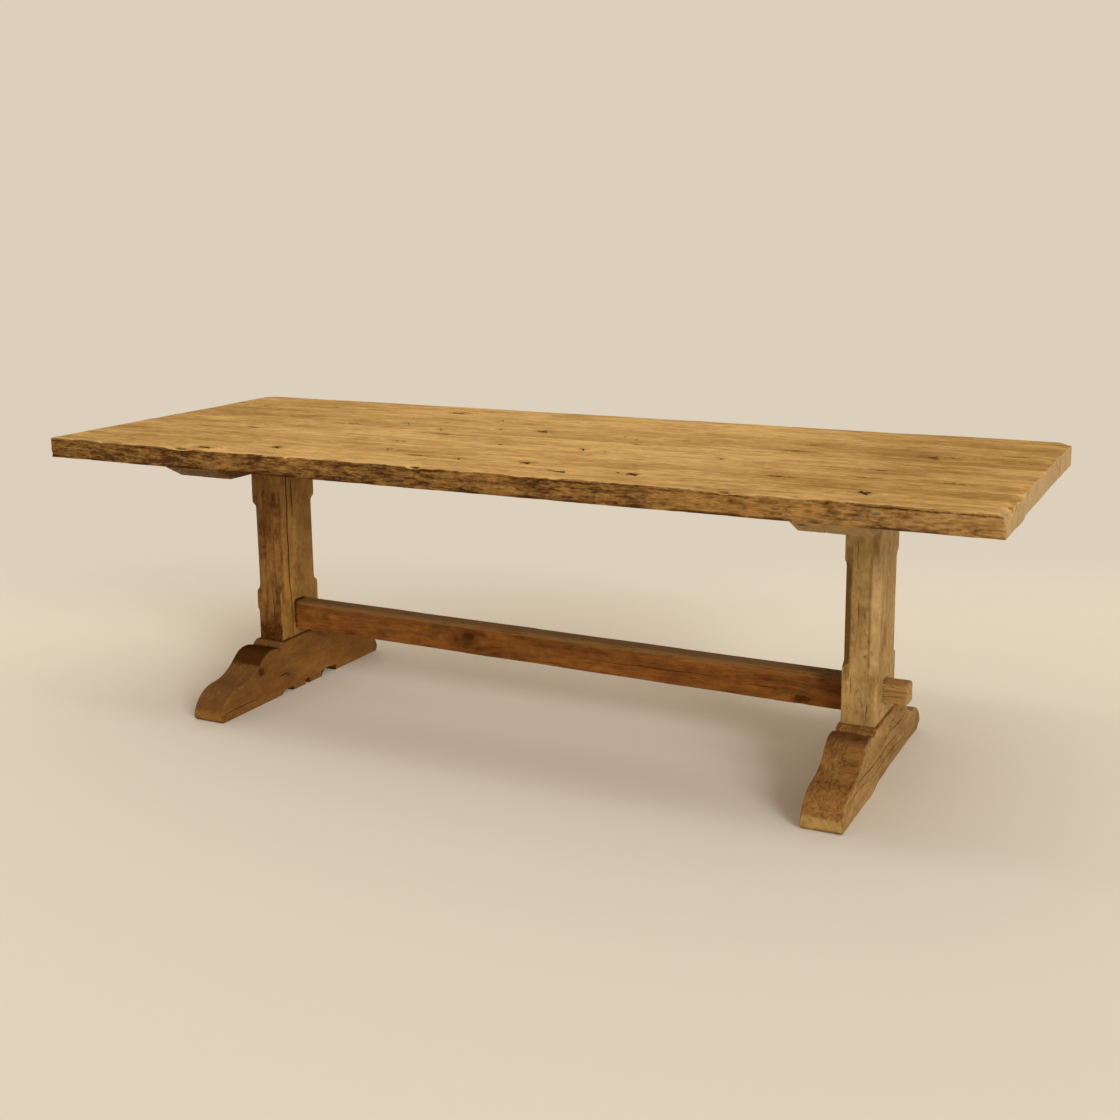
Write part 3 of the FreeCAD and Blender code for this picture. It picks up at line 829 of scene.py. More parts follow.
def top_board(number):
    """One board of the top, with worn outer arrises and barely eased joints."""
    sizes = bpy.context.scene.table_wear
    node = BOARDS[number]
    low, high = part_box(node)
    first, last = number == 0, number == len(BOARDS) - 1
    knots = [k for k in TOP_KNOTS if low.y <= k[1] < high.y]
    cracks = [c for c in TOP_CRACKS if low.y <= c[2] < high.y]
    mesh = board_mesh(number, low, high, knots, cracks, first, last)
    wear_board(mesh, low, high, first, last)

    places, normals = places_of(mesh), normals_of(mesh)
    x, y, z = places.T
    held = fade(0.0, 0.005, z - low.z)
    if not first:
        held = np.maximum(held, fade(0.0, 0.0008, y - low.y))
    if not last:
        held = np.maximum(held, fade(0.0, 0.0008, high.y - y))
    face, soil = np.zeros(len(places)), 0.0
    shade = face + BOARD_SHADES[number]
    shade = shade - 0.32 * ramp(0.4, 1.0, x) - 0.20 * ramp(-0.5, -1.0, x)
    if first:
        face = ramp(0.30, 0.62, -normals[:, 1])
        below = high.z - z
        # Painted shadow in a band just under the front arris, broken into patches, and a darker
        # strip at the foot of the edge.
        lip = bell(below, 0.0075 + 0.002 * wander(x, 0.03, 64), 0.0032)
        patches = 0.55 + 0.25 * ramp(0.3, 1.0, x) + 1.1 * wander(x, 0.12, 61)
        lip = lip * np.clip(patches, 0.1, 1.0)
        patches = 0.60 + 1.1 * wander(x, 0.09, 62)
        foot = ramp(0.0415, 0.0485, below) * np.clip(patches, 0.1, 1.0)
        soil = ramp(0.4, 0.7, -normals[:, 1]) * np.maximum(lip, foot)
        # The front face's tone grows lighter towards the right: partly the wood, partly painted
        # shade for light that falls off towards the left.
        rough = 0.16 * wander(x, 0.10, 63) + 0.20 * ramp(-0.6, 0.9, x)
        rough = rough + 0.06 * ramp(0.9, 1.15, x) - 0.10 - 0.10 * bell(x, 0.42, 0.2)
        shade = shade * (1.0 - face) + face * rough
    if last:
        face = ramp(0.25, 0.85, normals[:, 1])
    face = np.maximum(face, 0.8 * ramp(0.3, 0.9, -normals[:, 2]))
    wear = ramp(0.30, 0.60, normals[:, 2]) * fade(0.0, 0.030, y - cad_low[1])
    wear = wear * np.clip(0.5 + 1.3 * wander(x, 0.06, 65), 0.1, 1.0)
    ends = fade(0.0, 0.008, np.minimum(x - cad_low[0], cad_high[0] - x))
    wear = np.maximum(wear, 0.7 * ends) * ramp(high.z - 0.008, high.z - 0.003, z)
    if first:
        wear = np.maximum(wear, face * (0.02 + 0.18 * ramp(0.5, 1.15, x)))
    heart = low.y + (high.y - low.y) * (0.3 + 0.13 * number)
    mark_wood(
        mesh, (0, 1, 2), (heart, low.z - 0.05 - 0.03 * (number % 3)), 3.7 * number, 1.0 - held,
        [((x, y, high.z), radius, dark) for x, y, radius, dark in knots],
        [(1, start, end, y, 0.004, width, 2, high.z) for start, end, y, width in cracks],
        knot_splits(knots, number, high.z), halo=0.012,
        pale=0.9 * ramp(0.35, 0.80, np.abs(normals[:, 0])),
        shade=shade, wear=wear, soil=soil, face=face,
    )
    oak = finish("top_oak")
    piece = weather(link(node, mesh), node + "_oak", sizes.hollows, sizes.ridges, oak)
    seat(piece, [node])


# ---------------------------------------------------------------- hewn timbers


def merged(node):
    """A CAD node's mesh to work on, with its doubled vertices merged."""
    shell = bmesh.new()
    shell.from_mesh(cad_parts[node].data)
    bmesh.ops.remove_doubles(shell, verts=shell.verts, dist=1e-6)
    return shell


def hewn(node, cell, passes, seed):
    """A copy of a CAD node as even cells, its arrises worn down by an uneven amount.

    Returns the new object and how much each vertex has worn, from 0 to 1.
    """
    name = node + "_oak"
    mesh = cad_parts[node].data.copy()
    shell = merged(node)
    shell.to_mesh(mesh)
    shell.free()
    mesh.materials.clear()
    piece = link(name, mesh)
    remesh = piece.modifiers.new("Cells", "REMESH")
    remesh.mode = "VOXEL"
    remesh.voxel_size = cell
    piece = plain_mesh(piece, name)
    sharp = places_of(piece.data)
    smooth = piece.modifiers.new("Worn", "SMOOTH")
    smooth.factor = 0.5
    smooth.iterations = passes
    piece = plain_mesh(piece, name)
    soft = places_of(piece.data)
    share = np.clip(0.62 + 0.9 * field(sharp, (14, 14, 14), seed), 0.15, 1.0)
    set_places(piece.data, sharp + (soft - sharp) * share[:, None])
    worn = np.linalg.norm(soft - sharp, axis=1) * share / cell
    return piece, np.clip(worn * 1.6, 0.0, 1.0)


def finish_timber(piece, node, slot_name, hollow_share):
    """Weathers a hewn timber and puts it in its node's place."""
    sizes = bpy.context.scene.table_wear
    hollows = sizes.hollows * hollow_share
    piece = weather(piece, piece.name, hollows, sizes.ridges, finish(slot_name))
    seat(piece, [node])


def build_post(side):
    """A post, with its drying cracks, dirt and painted shade round its joints, and painted light
    and shade on its faces.
    """
    left, node = side == "left", "post_" + side
    low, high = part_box(node)
    foot_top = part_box("foot_" + side)[1].z
    bearer_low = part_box("bearer_" + side)[0].z
    rail_low, rail_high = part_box("stretcher")
    middle = (low + high) / 2
    piece, worn = hewn(node, bpy.context.scene.table_wear.timber_cell, 2, 3)
    places = places_of(piece.data)
    x, y, z = places.T.copy()
    deep = y - low.y
    if left:
        # Its left chamfer is shallower, and its left arris stands back low down.
        run = ramp(CHAMFER_FROM - 0.024, CHAMFER_FROM, z) * ramp(CHAMFER_TO + 0.024, CHAMFER_TO, z)
        shallow = run * fade(0.0, CHAMFER, x - low.x) * fade(CHAMFER, CHAMFER + 0.040, deep)
        places[:, 1] = low.y + deep * (1.0 - 0.15 * shallow)
        stepped = ramp(0.243, 0.236, z) * ramp(foot_top - 0.004, foot_top, z)
        corner = stepped * fade(0.0, 0.010, x - low.x) * fade(0.02, 0.06, places[:, 1] - low.y)
        places[:, 0] += 0.005 * corner
        set_places(piece.data, places)
    normals = normals_of(piece.data)
    front, beside = ramp(0.80, 0.95, -normals[:, 1]), ramp(0.80, 0.95, normals[:, 0])
    run = ramp(CHAMFER_FROM - 0.028, CHAMFER_FROM - 0.020, z)
    run = run * ramp(CHAMFER_TO + 0.028, CHAMFER_TO + 0.020, z)
    cuts = []
    for wide in (x - low.x, high.x - x):
        off = wide + deep
        inside = ramp(0.002, 0.006, off) * fade(CHAMFER + 0.0005, CHAMFER + 0.0028, off)
        cuts.append(run * inside)
    inner = middle.x - 0.006 if left else high.x - CHAMFER - 0.0045
    line = run * bell(x, inner, 0.0028) * ramp(0.006, 0.002, deep)
    free = np.minimum(
        ramp(foot_top, foot_top + 0.008, z), ramp(bearer_low, bearer_low - 0.006, z)
    )
    rail_z = rail_low.z + 0.4 * (rail_high.z - rail_low.z)
    rail_start = (middle.x - 0.2, -TENON_HALF, rail_z)
    rail_end = (middle.x + 0.2, TENON_HALF, rail_high.z - 0.01)
    # Dirt and painted shade where the post meets the foot and the stretcher, more on the left post.
    at_foot = 0.7 * bell(np.maximum(z - foot_top, 0.0), 0.0, 0.009)
    at_rail = near_box(places, rail_start, rail_end, 0.012)
    soil = (0.9 if left else 0.4) * np.maximum(at_foot, at_rail)
    if left:
        # The front is darkened as painted shade and the right side lightened as painted light, less
        # so low down; a band, the chamfers and a line by the right chamfer are darker too.
        broad = run * ramp(-0.007, -0.003, x - middle.x) * (1.0 - beside)
        shade = -0.04 * broad - 0.12 * cuts[0] - 0.30 * cuts[1] - 0.20 * line - 0.20 * front
        shade = shade + beside * (0.15 - 0.16 * ramp(0.30, 0.20, z))
        uneven = z + 0.02 * wander(x, 0.03, 71)
        low_down = (1.0 - beside) * ramp(0.275, 0.225, uneven)
        shade = shade - 0.16 * low_down
        soil = np.maximum(soil, 0.72 * low_down * ramp(0.235, 0.175, uneven))
        pale = 0.0
    else:
        # Painted light on the chamfer that faces the key and painted shade on the one that faces
        # away, with a dark line inside the lit one; painted light on the front and side high up,
        # under the top, and a darker patch by the right arris there.
        shade = 0.12 * cuts[1] - 0.50 * cuts[0] - 0.34 * line + 0.03 * front
        shade = shade + (0.30 * front + 0.42 * beside) * ramp(0.57, 0.64, z)
        shade = shade - 0.26 * front * ramp(0.565, 0.590, z) * ramp(0.030, 0.004, high.x - x)
        # The chamfer that faces the key is also mixed towards the pale end-grain colour, as a
        # painted highlight.
        pale = ramp(CHAMFER_FROM - 0.016, CHAMFER_FROM, z) * ramp(CHAMFER_TO + 0.016, CHAMFER_TO, z)
        pale = 0.34 * cuts[1] * pale
        off = high.x - x + deep
        stops = bell(z, CHAMFER_TO + 0.014, 0.010) + bell(z, CHAMFER_FROM - 0.014, 0.010)
        shade = shade - 0.32 * stops * ramp(0.001, 0.004, off) * ramp(CHAMFER + 0.004, CHAMFER, off)
    cracks = [(1, *crack, 0, high.x) for crack in POST_SIDE_CRACKS[side]]
    for start, end, place, sway, width in POST_FRONT_CRACKS[side]:
        cracks.append((0, start, end, middle.x + place, sway, width, 1, low.y))
    mark_wood(
        piece.data, (2, 0, 1), (middle.x + 0.09, middle.y - 0.16), 15.0 if left else 11.0, free,
        [((middle.x + a, low.y, b), radius, dark) for a, b, radius, dark in POST_KNOTS[side]],
        cracks, pale=pale, shade=shade, wear=worn, soil=soil,
    )
    finish_timber(piece, node, "post_oak_" + side, 0.8)


def build_foot(side):
    """A foot, with a mottled top, long checks in its cheek and gaps worn in its sole."""
    left, node = side == "left", "foot_" + side
    low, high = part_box(node)
    middle = (low + high) / 2
    piece, worn = hewn(node, bpy.context.scene.table_wear.timber_cell, 5, 9)
    places = places_of(piece.data)
    x, y, z = places.T.copy()
    cheek = middle.x + CHEEK
    if left:
        outer = fade(0.0, 0.050, cheek - x)
        for start, end, height in SOLE_GAPS:
            lift = height * arch(y, (start + end) / 2, (end - start) / 2, 0.6) * outer
            lifted = np.maximum(places[:, 2], lift + z * (SOLE_TOP - lift) / SOLE_TOP)
            places[:, 2] = np.where(z < SOLE_TOP, lifted, places[:, 2])
        places[:, 2] -= 0.0035 * fade(0.02, 0.06, np.abs(y - CREST)) * ramp(0.10, 0.14, z)
    else:
        # Its nose leans to the left, and its sole is worn on the inner side.
        flare, off = ramp(-0.10, -0.34, y), x - middle.x
        places[:, 0] += np.minimum(off, 0) * 0.06 * flare - 0.02 * np.maximum(off, 0) * flare
        bottom = ramp(-0.12, -0.02, y) * fade(0.0, 0.035, z) * fade(0.0, 0.03, cheek - x)
        places[:, 0] -= 0.007 * bottom
    set_places(piece.data, places)
    x, y, z = places.T
    normals = normals_of(piece.data)
    above = ramp(0.02, 0.28, normals[:, 2])
    from_crest = np.abs(y - CREST)
    # Dirt and painted shade where the post stands on the foot and in the notches beside it.
    notch = bell(np.abs(y), 0.114, 0.007) * ramp(0.125, 0.135, z)
    soil = 0.7 * near_post(places, side, high.z - 0.002, high.z + 0.1, 0.008)
    soil = np.maximum(soil, 0.7 * notch)
    if left:
        crest = fade(0.020, 0.080, from_crest) * ramp(0.080, 0.130, z)
        soil = np.maximum(soil, 1.25 * crest * ramp(-0.1, 0.5, normals[:, 2]))
        # Painted shadow round the gaps worn in the sole, laid in the soil mark so that they look
        # dark inside.
        for start, end, height in SOLE_GAPS:
            gap = (cheek - 0.05, start, 0.0), (cheek + 0.01, end, 0.8 * height)
            soil = np.maximum(soil, near_box(places, *gap, 0.004))
        shade = 0.16 * ramp(0.05, 0.25, y) - 0.24 * above - 0.24 * ramp(0.6, 0.9, -normals[:, 1])
    else:
        crest = fade(0.012, 0.030, from_crest) * ramp(0.125, 0.145, z)
        soil = np.maximum(0.60 * soil, 0.46 * crest)
        shade = -0.16 * above * fade(0.02, 0.07, from_crest)
        shade = shade - 0.14 * (1.0 - above) * ramp(-0.14, -0.02, y)
        shade = shade - 0.26 * above * ramp(0.144, 0.150, z) * ramp(-0.10, -0.114, y - 0.006)
    mark_wood(
        piece.data, (1, 0, 2), (middle.x - 0.12, -0.10), 23.0 if left else 19.0,
        ramp(0.0005, 0.004, z),
        [((cheek if a is None else a, b, c), *rest) for a, b, c, *rest in FOOT_KNOTS[side]],
        [(2, *crack, 0, cheek) for crack in FOOT_CRACKS[side]],
        shade=shade, wear=worn, soil=soil,
        face=(0.9 if left else 0.85) * above * ramp(0.018, 0.042, z),
    )
    finish_timber(piece, node, "foot_oak_" + side, 1.2)


def build_bearer(side):
    """A bearer under the top."""
    left, node = side == "left", "bearer_" + side
    low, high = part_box(node)
    middle = (low + high) / 2
    piece, worn = hewn(node, bpy.context.scene.table_wear.bearer_cell, 7, 15)
    places = places_of(piece.data)
    # The left bearer is darker than the right: partly its wood, partly painted shade for light that
    # falls off towards the left. Dirt and painted shade lie where it sits on its post.
    mark_wood(
        piece.data, (1, 0, 2), (middle.x + 0.05, 0.60), 31.0 if left else 27.0,
        ramp(high.z, high.z - 0.003, places[:, 2]),
        [
            ((middle.x + 0.03, -0.18, low.z), 0.014, 0.8),
            ((middle.x - 0.04, 0.24, low.z), 0.010, 0.7),
        ],
        [(0, -0.36, -0.20, middle.x - 0.02, 0.004, 0.0018, 2, low.z)],
        shade=-0.40 if left else 0.22, wear=worn,
        soil=0.7 * near_post(places, side, low.z - 0.1, low.z + 0.002, 0.008),
    )
    finish_timber(piece, node, "bearer_oak", 0.6)


def build_stretcher():
    """The stretcher, with its knots, its waney front arris and its dusty top."""
    low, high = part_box("stretcher")
    piece, worn = hewn("stretcher", bpy.context.scene.table_wear.timber_cell, 3, 21)
    places = places_of(piece.data)
    x = places[:, 0].copy()
    arris = (low.x, low.y, WANE_FROM), (high.x, low.y, WANE_TO)
    wane = near_box(places, *arris, 0.012) * ramp(-0.79, -0.55, x)
    depth = 0.4 + 0.9 * wander(x, 0.25, 51) + 0.5 * wander(x, 0.07, 52)
    depth = 0.0045 * np.clip(depth, 0, 1.3) * wane * ramp(0.80, 0.74, x)
    places[:, 1] += depth
    places[:, 2] -= depth
    set_places(piece.data, places)
    normals = normals_of(piece.data)
    # Dirt and painted shade where the stretcher meets the posts.
    soil = 0.0
    for side, share in (("left", 0.8), ("right", 0.4)):
        soil = np.maximum(soil, share * near_post(places, side, 0, 1, 0.012))
    knots = [((a, low.y, b), radius, dark) for a, b, radius, dark in STRETCHER_KNOTS]
    knots += [((a, 0.0, b), radius, dark) for a, b, radius, dark in STRETCHER_TOP_KNOTS]
    cracks = [(2, *crack, 1, low.y) for crack in STRETCHER_CRACKS]
    cracks += [(2, *crack, 1, -TENON_HALF) for crack in TENON_CRACKS]
    # The stretcher is lighter towards the right: partly its wood, partly painted shade for light
    # that falls off towards the left.
    mark_wood(
        piece.data, (0, 2, 1), (0.31, 0.05), 35.0, np.ones(len(places)), knots, cracks,
        pale=ramp(0.84, 0.88, x), shade=0.12 * ramp(-0.8, 0.8, x) - 0.10, wear=worn, soil=soil,
        face=0.95 * ramp(0.35, 0.75, normals[:, 2]) * ramp(0.88, 0.80, x),
    )
    finish_timber(piece, "stretcher", "stretcher_oak", 0.4)


# ---------------------------------------------------------------- pegs and coach screws


def islands(node):
    """The lowest and highest corners of each separate solid of a CAD node."""
    shell = merged(node)
    left, boxes = set(shell.verts), []
    while left:
        grown, edge = set(), [left.pop()]
        while edge:
            vertex = edge.pop()
            grown.add(vertex)
            near = {link_edge.other_vert(vertex) for link_edge in vertex.link_edges} & left
            left -= near
            edge += near
        corners = np.array([vertex.co for vertex in grown])
        boxes.append((corners.min(0), corners.max(0)))
    shell.free()
    return sorted(boxes, key=lambda box: tuple(np.round(box[0], 4)))


def spread_tree(name, inputs, shape):
    """Geometry Nodes that set one shape on every point, turned by chance about its own axis.

    Each point carries the way the shape faces as "way" and its size as "size".
    """
    tree = bpy.data.node_groups.get(name)
    if tree:
        return tree
    sockets = [("Points", "Geometry", None)] + inputs
    sockets += [("Seed", "Int", 3), ("Material", "Material", None)]
    tree, nodes, given, result = new_tree(
        name, "GeometryNodeTree", sockets, [("Pieces", "Geometry", None)]
    )
    way, size = (
        nodes.make("GeometryNodeInputNamedAttribute", {"Name": mark}, data_type="FLOAT_VECTOR")
        for mark in ("way", "size")
    )
    turn = nodes.make("FunctionNodeAlignRotationToVector", {"Vector": way}, axis="Z")
    points = {
        "Points": given["Points"], "Instance": shape(nodes, given), "Rotation": turn, "Scale": size
    }
    placed = nodes.make("GeometryNodeInstanceOnPoints", points)
    chances = {2: 0.0, 3: math.tau, "Seed": given["Seed"]}
    chance = nodes.make("FunctionNodeRandomValue", chances, 1, data_type="FLOAT")
    spin = {"Instances": placed, "Rotation": nodes.joined(Z=chance), "Local Space": True}
    placed = nodes.make("GeometryNodeRotateInstances", spin)
    nodes.paint(placed, given["Material"], result["Pieces"])
    return tree


def bar(nodes, sides, radius, depth, base, rings=1, fill=1):
    """A round or many-sided bar along Z that starts at base."""
    inputs = {"Vertices": sides, "Side Segments": rings, "Fill Segments": fill}
    mesh = nodes.make("GeometryNodeMeshCylinder", {**inputs, "Radius": radius, "Depth": depth})
    lift = nodes.joined(Z=nodes.maths("MULTIPLY", depth, 0.5) + base)
    return nodes.make("GeometryNodeTransform", {"Geometry": mesh, "Translation": lift})


def height_of(nodes):
    """How high each point is."""
    place = nodes.make("GeometryNodeInputPosition", {})
    return nodes.make("ShaderNodeSeparateXYZ", {"Vector": place}, "Z")


def swell(nodes, mesh, amount):
    """Moves each point of a mesh away from the Z axis by a share of its distance."""
    place = nodes.make("GeometryNodeInputPosition", {})
    flat = nodes.vectors("MULTIPLY", place, (1.0, 1.0, 0.0))
    offset = nodes.vectors("SCALE", flat, amount)
    return nodes.make("GeometryNodeSetPosition", {"Geometry": mesh, "Offset": offset})


def riven_peg(nodes, given):
    """A peg of unit length and radius, riven rather than turned, with a knocked-over head."""
    mesh = bar(nodes, 8, 1.0, 1.0, 0.0, rings=24, fill=3)
    head = nodes.maths("LESS_THAN", height_of(nodes), 0.02)
    tip = nodes.maths("GREATER_THAN", height_of(nodes), 0.98)
    mesh = swell(nodes, mesh, head * -0.14 + tip * -0.20)
    place = nodes.make("GeometryNodeInputPosition", {})
    rough = nodes.clouds(place, (1.6, 1.6, 5.0), 2.0) - 0.62
    return swell(nodes, mesh, rough * given["Riving"])


def coach_screw(nodes, given):
    """A coach screw that points up, its seat at the origin: hexagon head, flange and thread."""
    head_height, flats, flange = given["Head Height"], given["Head Flats"], given["Flange"]
    head = bar(nodes, 6, flats * (1 / math.sqrt(3)), head_height, head_height * -1.0, 8, 3)
    lowest = nodes.maths("LESS_THAN", height_of(nodes), head_height * -0.95)
    head = swell(nodes, head, lowest * -0.10)
    washer = bar(nodes, 28, flats * 0.62, flange, flange * -1.0)
    shank = bar(nodes, 14, given["Shank Radius"], given["Shank Length"], 0.0, 60, 2)
    turns = nodes.maths("DIVIDE", height_of(nodes) * math.tau, given["Pitch"])
    groove = (nodes.maths("SINE", turns, 0.0) - 1.0) * 0.08
    threaded = nodes.maths("GREATER_THAN", height_of(nodes), given["Plain Shank"])
    shank = swell(nodes, shank, groove * threaded)
    join = nodes.add("GeometryNodeJoinGeometry")
    for part in (shank, washer, head):
        nodes.feed(part, join.inputs[0])
    return Value(nodes, join.outputs[0])


def spread(name, tree, values, places, ways, sizes, nodes_replaced, slot_name):
    """One plain mesh of a shape set on every place."""
    mesh = bpy.data.meshes.new(name)
    mesh.from_pydata([tuple(map(float, place)) for place in places], [], [])
    add_marks(mesh, way=np.array(ways, float), size=np.array(sizes, float))
    values["Material"] = finish(slot_name)
    piece = shaped_by(tree, name, link(name + "_points", mesh), name, values)
    smooth_faces(piece.data, 35)
    seat(piece, nodes_replaced)


def build_pegs():
    """The pegs of both trestles, driven from the left of the feet and the back of the posts."""
    places, ways, sizes, replaced = [], [], [], []
    for side in SIDES:
        for kind, axis, way in (("foot_pegs_", 0, (1, 0, 0)), ("stretcher_peg_", 1, (0, -1, 0))):
            for box in islands(kind + side):
                place = (box[0] + box[1]) / 2
                place[axis] = box[axis][axis]
                places.append(place)
                ways.append(way)
                size = box[1] - box[0]
                sizes.append((size[2] / 2, size[2] / 2, size[axis]))
            replaced.append(kind + side)
    tree = spread_tree("Riven Pegs", [("Riving", "Float", 0.10)], riven_peg)
    values = {"Riving": 0.10, "Seed": 5}
    spread("pegs", tree, values, places, ways, sizes, replaced, "peg_oak")


def build_screws():
    """The coach screws that hold the boards to the bearers."""
    head_height, radius, replaced = 0.0055, 0.004, ["bearer_screws_" + side for side in SIDES]
    boxes = [box for node in replaced for box in islands(node)]
    places = [(*((low + high) / 2)[:2], low[2] + head_height) for low, high in boxes]
    size = boxes[-1][1] - boxes[-1][0]
    given = {
        "Head Flats": float(min(size[:2])), "Head Height": head_height, "Flange": 0.0012,
        "Shank Radius": radius, "Shank Length": float(size[2] - head_height),
        "Plain Shank": 0.014, "Pitch": 0.0036,
    }
    tree = spread_tree("Coach Screws", [(name, "Float", 0.01) for name in given], coach_screw)
    ways, sizes = [(0, 0, 1)] * len(boxes), [(1, 1, 1)] * len(boxes)
    values = {**given, "Seed": 8}
    spread("coach_screws", tree, values, places, ways, sizes, replaced, "screw_steel")


# ---------------------------------------------------------------- finishes

COLOURS = (
    "Light", "Dark", "Face Light", "Face Dark", "End Light", "Worn Light", "Dirt", "Crack Colour"
)
MARKS = ("Knot", "Crack", "Soil", "Wear", "Face", "Cut", "Shade")
SHARES = ("Bands", "Streaks", "Rings", "Mottle", "Specks", "Pale Edges", "Shortness")

# Each oak finish: its grain, its rough or dusty faces, its end grain, and its SHARES.
OAK_FINISHES = {
    "top_oak": ("top", "edge", "end_light", (0.54, 0.66, 0.16, 0.12, 0.55, 0.90, 1.3)),
    "post_oak_left": (
        "post_left", "post_left", "post_left_light", (0.40, 0.42, 0.08, 0.32, 0.4, 0.15, 2.2)
    ),
    "post_oak_right": (
        "post_right", "post_right", "end_light", (0.45, 0.60, 0.08, 0.25, 0.4, 0.45, 2.6)
    ),
    "foot_oak_left": (
        "foot_left", "foot_top", "foot_left_light", (0.40, 0.35, 0.05, 0.30, 0.3, 0.15, 2.0)
    ),
    "foot_oak_right": (
        "foot_right", "foot_top", "foot_right_light", (0.45, 0.55, 0.06, 0.22, 0.4, 0.35, 1.8)
    ),
    "bearer_oak": ("bearer", "bearer", "bearer_light", (0.22, 0.34, 0.06, 0.15, 0.2, 0.70, 2.0)),
    "stretcher_oak": (
        "stretcher", "stretcher_top", "foot_right_light", (0.50, 0.66, 0.12, 0.35, 0.4, 0.2, 1.3)
    ),
    "inner_oak": ("bearer", "bearer", "bearer_light", (0.40, 0.50, 0.30, 0.05, 0.2, 0.0, 1.5)),
    "peg_oak": ("peg", "peg", "peg_light", (0.40, 0.60, 0.20, 0.10, 0.2, 0.0, 2.0)),
}
UNMARKED = ("inner_oak", "peg_oak")


